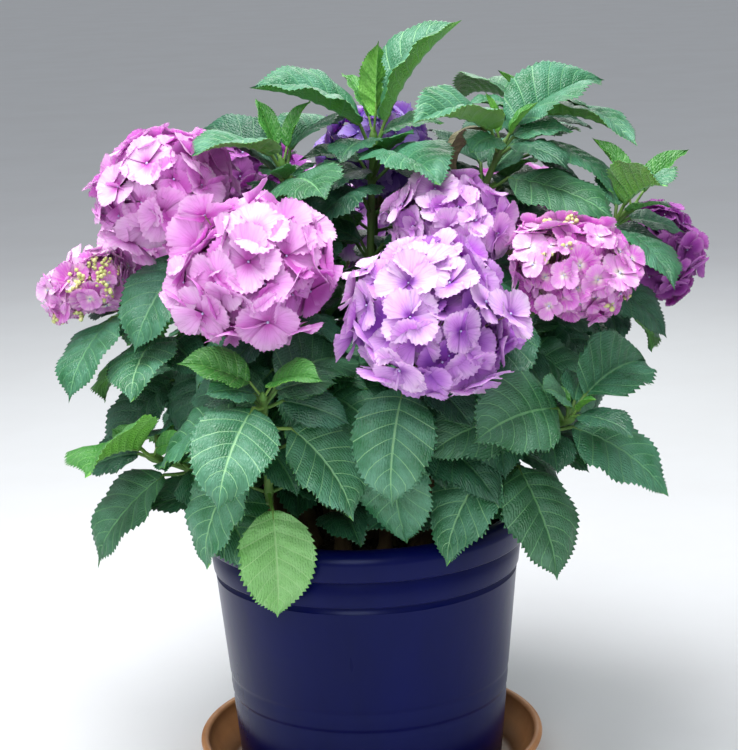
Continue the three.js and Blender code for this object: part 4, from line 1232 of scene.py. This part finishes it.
# Each floret's tone step as painted light and shade: a level, a rise for florets facing the light's way
# below, a random spread, and a fall for florets sunk deeper.
PAINTED_LIGHT = {"level": 2.95, "facing": 1.1, "chance": 0.8, "depth": 1.5}
PAINTED_LIGHT_FROM = (-0.6, -0.3, 0.74)
TONE_STEPS = 5
# Each head colour's claw, then its petals in a deep, a middle and a pale tone. The steps between deep and
# pale are dealt out on each head as painted light and shade.
PETAL_TONES = {
    "pink": (paint(192, 84, 178), paint(192, 88, 182), paint(238, 156, 234), paint(248, 198, 244)),
    "lilac": (paint(166, 80, 184), paint(178, 92, 198), paint(234, 170, 244), paint(250, 212, 250)),
    "purple": (paint(138, 62, 172), paint(140, 72, 180), paint(210, 142, 230), paint(248, 208, 248)),
    "violet": (paint(84, 50, 150), paint(88, 54, 150), paint(130, 92, 190), paint(178, 150, 222)),
    "rose": (paint(192, 74, 178), paint(178, 60, 168), paint(220, 108, 212), paint(248, 184, 244)),
    "magenta": (paint(110, 34, 116), paint(96, 28, 108), paint(146, 62, 156), paint(196, 118, 196)),
}
CREAM = paint(250, 240, 226)
PETAL_CLAW = {"start": 0.05, "most": 1.0}
PETAL_RIM = {"start": 0.55, "end": 1.05, "most": 0.8}
PETAL_VEINS = {"start": 0.45, "end": 0.72, "most": 0.35}
BEAD = {"radius": 0.0013, "fineness": 1, "colours": (paint(206, 196, 232), paint(168, 176, 226))}
BUD = {"radius": 0.0022, "fineness": 2, "colours": (paint(226, 228, 160), paint(190, 206, 104))}
BUD_CLUSTER = {"count": 9, "spread": 5.5}
BEAD_SIZES = (0.7, 1.25)


def sepal_faces():
    """The faces of a fan-shaped sepal by corner count: both its sides, with small teeth round the rim."""
    rows, columns = len(SEPAL_ROWS), len(SEPAL_COLUMNS)
    inner = columns - 2
    under = rows * columns
    teeth = under + (rows - 1) * inner

    def at(row, column, low):
        if low and 0 < column < columns - 1 and row < rows - 1:
            return under + row * inner + column - 1
        return row * columns + column

    found = {4: [], 7: []}
    for low in (False, True):
        for r in range(rows - 1):
            for c in range(columns - 1):
                face = [at(r, c, low), at(r + 1, c, low), at(r + 1, c + 1, low), at(r, c + 1, low)]
                if r == rows - 2:
                    face[2:2] = [teeth + 3 * c + k for k in range(3)]
                found[len(face)].append(face[:1] + face[:0:-1] if low else face)
    found[2 * columns - 2] = [list(range(columns)) + [under + x for x in range(inner - 1, -1, -1)]]
    return {corners: np.array(faces) for corners, faces in found.items()}


def sepal_places():
    """Where each point of a sepal lies on its own map: across, and out from the claw."""
    across = SEPAL_COLUMNS / 2 + 0.5
    rows, columns = np.meshgrid(SEPAL_ROWS, across, indexing="ij")
    flat = np.stack([columns, rows], -1)
    teeth = [
        [start + step * share, 1.0] for start, step in zip(across, np.diff(across)) for share in TOOTH_SHARES
    ]
    return np.concatenate([flat.reshape(-1, 2), flat[:-1, 1:-1].reshape(-1, 2), teeth])


SEPAL_CORNERS = sepal_faces()
SEPAL_MAP = sepal_places()


def sepal_points(length, draw, upper):
    """One sepal in its floret's own frame: it points along +X from the middle, and faces +Z."""
    t, v = np.meshgrid(SEPAL_ROWS, SEPAL_COLUMNS, indexing="ij")
    fan_half = math.radians(SEPAL["fan"] * (1 + 0.06 * draw()))
    shoulder = SEPAL["shoulder"] * (1 + 0.5 * draw())
    radius = length * t * (1 - shoulder * np.abs(v) ** 2.2 + 0.03 * draw() * v)
    x, y = radius * np.cos(v * fan_half), radius * np.sin(v * fan_half)
    cup = SEPAL["cup"][0] + SEPAL["cup"][1] * draw()
    curl = SEPAL["curl"] * (1 + draw()) * (1 if upper else -1)
    ruffle = SEPAL["ruffle"] * np.sin((4.5 + draw()) * v + 3 * draw()) * t**1.5
    z = length * (cup * t**2 + curl * v**2 * t + ruffle) + (SEPAL["over"] if upper else 0)
    tilt, roll = math.radians(SEPAL["tilt"] * draw()), math.radians(SEPAL["roll"] * draw())
    top = np.stack([x, y, z + x * math.tan(tilt) + y * math.tan(roll)], -1)
    low = top[:-1, 1:-1] - np.array([0, 0, SEPAL["thick"]])
    rim = top[-1]
    step = np.diff(rim, axis=0)
    outward = unit(np.stack([step[:, 1], -step[:, 0], 0 * step[:, 0]], -1))
    teeth = [
        rim[c] + step[c] * share + outward[c] * length * SEPAL["tooth"] * reach * (1 + 0.3 * draw())
        for c in range(len(step)) for share, reach in zip(TOOTH_SHARES, TOOTH_REACH)
    ]
    return np.concatenate([top.reshape(-1, 3), low.reshape(-1, 3), teeth])


def add_floret(heap, middle, facing, size, tone, draw):
    """One floret: two pairs of sepals, one pair laid over the other, around its middle."""
    side = unit(np.cross(facing, [0.31, 0.17, 0.93]))
    other = np.cross(facing, side)
    spin = math.pi * draw()
    for k in range(4):
        turn = spin + math.pi / 2 * k + 0.1 * draw()
        out = side * math.cos(turn) + other * math.sin(turn)
        local = sepal_points(size / 2 * (1 + 0.08 * draw()), draw, k % 2)
        points = middle + local @ np.array([out, np.cross(facing, out), facing])
        heap.add(points, SEPAL_CORNERS, tone, SEPAL_MAP)


def petal_streaks():
    """How far out along a sepal a point lies, and the fine veins that run out along it, each from 0 to 1."""
    results = {"Outward": "Float", "Veins": "Float"}
    tree, given, result = effect_group("petal_streaks", {"Count": 16.0}, results)
    place = add_node(tree, "ShaderNodeUVMap", uv_map="blade").outputs[0]
    split = add_node(tree, "ShaderNodeSeparateXYZ", {0: place}).outputs
    drawn_out = add_node(tree, "ShaderNodeCombineXYZ", {
        "X": reckon(tree, "MULTIPLY", split["X"], given["Count"]),
        "Y": reckon(tree, "MULTIPLY", split["Y"], 1.6),
    })
    noise = add_node(tree, "ShaderNodeTexNoise", {"Vector": drawn_out.outputs[0], "Scale": 1, "Detail": 3})
    tree.links.new(split["Y"], result["Outward"])
    tree.links.new(noise.outputs["Fac"], result["Veins"])
    return tree


STREAKS = petal_streaks()


def petal_material(name, claw, blade, rim, claw_end):
    """A petal's thin soft skin: deeper at the claw and along its veins, paler at the rim."""
    material = new_material(name, Specular_IOR_Level=0.2, Roughness=0.6, Sheen_Weight=0.08,
                            Subsurface_Weight=0.35, Subsurface_Scale=0.003,
                            Subsurface_Radius=(0.9, 0.35, 0.8))
    tree = material.node_tree
    streaks = add_node(tree, "ShaderNodeGroup", node_tree=STREAKS).outputs
    body = blend(tree, streaks["Outward"], claw, blade, end=claw_end, **PETAL_CLAW)
    edged = blend(tree, streaks["Outward"], body, rim, **PETAL_RIM)
    to_shader(material, "Base Color", blend(tree, streaks["Veins"], edged, claw, **PETAL_VEINS))
    add_relief(material, streaks["Veins"], 0.0008, 0.35)
    return material


def petal_materials(tone):
    """One petal colour in steps from deep to pale, which the heads use as painted shade and painted light,
    and again with cream claws if a head is still opening.
    """
    claw, deep, main, pale = (np.array(colour) for colour in PETAL_TONES[tone])
    ramp = [deep, (deep + main) / 2, main, main * 0.6 + pale * 0.4, main * 0.25 + pale * 0.75, pale]
    styles = [("", claw, 0.6, 2)]
    if any(s["petals"] == tone and "unripe" in s for s in HEADS):
        styles.append(("opening_", np.array(CREAM), 0.5, 1))
    return [
        petal_material("petals_" + tone + "_" + style + str(step + 1), tuple(eye), tuple(ramp[step]),
                       tuple(ramp[min(step + paler, TONE_STEPS)]), claw_end)
        for style, eye, claw_end, paler in styles for step in range(TONE_STEPS)
    ]


def head_frame(facing):
    side = unit(np.cross(facing, [0.23, 0.91, 0.34]))
    return np.array([side, np.cross(facing, side), facing])


def head_aim(height, turn):
    """The way from the middle of a round head to a height and a turn on it."""
    flat = math.sqrt(max(0, 1 - height * height))
    return np.array([flat * math.cos(turn), flat * math.sin(turn), height])


def triple(draw):
    return np.array([draw(), draw(), draw()])


def place_floret(shoot, axes, aim, normal, sunk, size, tone, draw, heap):
    """Sets one floret on a head, sunk below its rounded top, and returns its middle and the way it faces."""
    wide, tall = shoot["head"]
    number = shoot["number"]
    lump = 1 + FLORETS["lumps"] * math.sin(3.3 * aim[0] + number) * math.sin(3.7 * aim[1] + 2 * number)
    lean = triple(draw) * math.tan(math.radians(FLORETS["tilt"]))
    facing = unit(normal + lean * FLORETS["lean"])
    middle = shoot["middle"] + (aim * (lump * np.array([wide, wide, tall])) * (1 - sunk)) @ axes
    add_floret(heap, middle, facing, size, tone, draw)
    return middle, facing


def grow_head(shoot, heap, stalks, beads, buds):
    """Grows the florets of one head and their stalks, and notes the places of its beads and unripe buds."""
    wide, tall = shoot["head"]
    draw = seeded_stream(5003 + 613 * shoot["number"])
    axes = head_frame(shoot["facing"])
    opening = "unripe" in shoot
    towards, bare, scattered = shoot.get("unripe", (UP, 2, -1))
    size = shoot.get("floret", min(FLORETS["largest"], wide * FLORETS["size"]))
    uneven = OPENING["uneven"] if opening else FLORETS["uneven"]
    count = int(math.pi * wide * (wide + tall) * FLORETS["area"] / (size * size) * FLORETS["cover"])
    lowest = math.cos(math.radians(FLORETS["spread"]))
    fork = shoot["line"].place(shoot["neck"])
    inward = shoot["middle"] - shoot["facing"] * tall * FLORET_STALK["fork"]
    least, most = FLORETS["sunk"]
    for i in range(count + FLORETS["inner"]):
        inner = i >= count
        height = 1 - (1 - lowest) * ((i - count + 0.5) / FLORETS["inner"] if inner else (i + 0.5) / count)
        aim = head_aim(height, i * math.pi * GOLDEN_TURN + FLORETS["swing"] * draw())
        normal = unit(aim / [wide, wide, tall]) @ axes
        depth = (draw() + 1) / 2
        sunk = most if inner else least + (most - least) * depth
        # Painted light and shade: florets facing the light's way take paler tones, deeper-sunk florets darker
        # ones, and the inner florets the deepest tone.
        light = PAINTED_LIGHT["level"] + PAINTED_LIGHT["facing"] * (normal @ PAINTED_LIGHT_FROM)
        painted_light_step = 0 if inner else light + PAINTED_LIGHT["chance"] * draw() - PAINTED_LIGHT["depth"] * depth
        tone = int(np.clip(round(painted_light_step), 0, TONE_STEPS - 1)) + (TONE_STEPS if opening else 0)
        own = (OPENING["inner_size"] if inner and opening else size) * (1 + uneven * draw())
        closed = normal @ unit(np.array(towards))
        if not inner and (closed > bare or (draw() + 1) / 2 < scattered):
            deep = OPENING["sunk"][0] - OPENING["sunk"][1] * sunk
            middle = shoot["middle"] + (aim * [wide, wide, tall] * deep) @ axes
            buds += [middle + triple(draw) * BUD_CLUSTER["spread"] for _ in range(BUD_CLUSTER["count"])]
            if closed > bare + OPENING["edge"]:
                continue
            own *= OPENING["share"]
        middle, facing = place_floret(shoot, axes, aim, normal, sunk, own, tone, draw, heap)
        beads.append(middle + facing * FLORETS["bead"])
        path = np.array([fork, (fork + middle) / 2 + (inward - fork) * FLORET_STALK["bend"], middle])
        radii = np.full(len(path), FLORET_STALK["radius"])
        limb(stalks, path, unit(np.gradient(path, axis=0)), radii, FLORET_STALK["sides"])


def bead_tree(name, material, fineness):
    """A Geometry Nodes tree that sets one small round bead on every point of a mesh."""
    tree, given = growing_tree(name, "Radius")
    bead = add_node(tree, "GeometryNodeMeshIcoSphere", {"Radius": given["Radius"], "Subdivisions": fineness})
    smallest, largest = BEAD_SIZES
    size = add_node(tree, "FunctionNodeRandomValue", {2: smallest, 3: largest, "Seed": 17})
    placed = add_node(tree, "GeometryNodeInstanceOnPoints", {
        "Points": given["Geometry"], "Instance": bead.outputs["Mesh"], "Scale": size.outputs[1],
    })
    return end_tree(tree, placed, material)


def make_beads(places, name, slot, radius, fineness, colours):
    """Small round beads on all the heads: the eyes of the florets, or buds that are yet to open."""
    points = bpy.data.meshes.new(name + "_places")
    points.from_pydata((np.array(places) * MM).tolist(), [], [])
    holder = bpy.data.objects.new(name + "_places", points)
    bead = new_material(name, Specular_IOR_Level=0.5)
    add_patches(bead, Colour=colours[0], Other=colours[1], Scale=160, Share=0.7, Roughness=0.4, Spread=0.1)
    grown_by(bead_tree(name, bead, fineness), holder, name, slot, Radius=radius)
    bpy.data.objects.remove(holder)


def make_flowers():
    heaps, stalks, beads, buds = {}, Heap(), [], []
    for shoot in HEADS:
        grow_head(shoot, heaps.setdefault(shoot["petals"], Heap()), stalks, beads, buds)
    for tone, heap in heaps.items():
        names = ["flowers_" + s["name"] for s in HEADS if s["petals"] == tone]
        heap.piece("florets_" + tone, petal_materials(tone), "petals_" + tone, names, sharp=100)
    pale = new_material("floret_stalks", Specular_IOR_Level=0.3)
    add_patches(pale, Colour=paint(150, 160, 100), Other=paint(170, 110, 140), Scale=80, Share=0.7,
                Roughness=0.6, Spread=0.1)
    stalks.piece("floret_stalks", [pale], "petals_pink", sharp=None)
    make_beads(beads, "floret_beads", "petals_lilac", **BEAD)
    make_beads(buds, "unripe_buds", "petals_pink", **BUD)


make_flowers()

# The stage: a pale floor, soft light from a large lamp overhead with a fill from the front, and a camera that
# stands where the photograph was taken from. Its focal length is in pixels of a picture of the given width.
FLOOR_SIZE = 90
SKY = {"colour": (0.9, 0.94, 1.0, 1), "strength": 0.42}
LAMPS = {
    "overhead": {"place": (-0.35, -0.45, 2.5), "size": 1.8, "power": 74, "colour": (0.98, 0.98, 1.0)},
    "front_fill": {"place": (-0.5, -2.9, 2.1), "size": 1.8, "power": 34, "colour": (0.95, 0.97, 1.0)},
    "rear": {"place": (0.3, 2.2, 1.9), "size": 1.4, "power": 14, "colour": (0.95, 1.0, 0.95)},
}
LAMPS_AIM = (0, 0, 0.5)
VIEW = {"focal": 2050, "width": 738, "pitch": -12.9, "roll": 1.8, "yaw": -0.25, "from": (0, -2.10, 0.92)}
SENSOR_WIDTH = 36


def add_lamp(name, place, size, power, colour):
    lamp = bpy.data.lights.new(name, "AREA")
    lamp.shape, lamp.size, lamp.energy, lamp.color = "DISK", size, power, colour
    holder = bpy.data.objects.new(name, lamp)
    holder.location = place
    holder.rotation_euler = (Vector(LAMPS_AIM) - Vector(place)).to_track_quat("-Z", "Y").to_euler()
    bpy.context.scene.collection.objects.link(holder)


def add_camera():
    pitch, roll, yaw = (math.radians(VIEW[k]) for k in ("pitch", "roll", "yaw"))
    ahead = Vector((math.sin(-yaw) * math.cos(pitch), math.cos(yaw) * math.cos(pitch), math.sin(pitch)))
    right = ahead.cross(Vector((0, 0, 1))).normalized()
    above = right.cross(ahead)
    cos, sin = math.cos(roll), math.sin(roll)
    right, above = right * cos - above * sin, right * sin + above * cos
    camera = bpy.data.cameras.new("camera")
    camera.sensor_width = SENSOR_WIDTH
    camera.sensor_fit = "HORIZONTAL"
    camera.lens = VIEW["focal"] / VIEW["width"] * SENSOR_WIDTH
    holder = bpy.data.objects.new("camera", camera)
    bpy.context.scene.collection.objects.link(holder)
    turn = Matrix((right, above, -ahead)).transposed().to_4x4()
    holder.matrix_world = Matrix.Translation(VIEW["from"]) @ turn
    bpy.context.scene.camera = holder


def make_stage():
    bpy.ops.mesh.primitive_plane_add(size=FLOOR_SIZE)
    floor = bpy.context.object
    floor.name = "floor"
    pale = new_material("floor_paint", Specular_IOR_Level=0.2)
    add_patches(pale, Colour=paint(232, 233, 234), Other=paint(226, 226, 226), Scale=3, Share=0.5,
                Roughness=0.85, Spread=0.05)
    floor.data.materials.append(pale)
    world = bpy.data.worlds.new("soft_light")
    world.use_nodes = True
    sky = world.node_tree.nodes["Background"].inputs
    sky["Color"].default_value, sky["Strength"].default_value = SKY["colour"], SKY["strength"]
    bpy.context.scene.world = world
    for name, lamp in LAMPS.items():
        add_lamp(name, **lamp)
    add_camera()
    bpy.context.scene.view_settings.view_transform = "Standard"


make_stage()
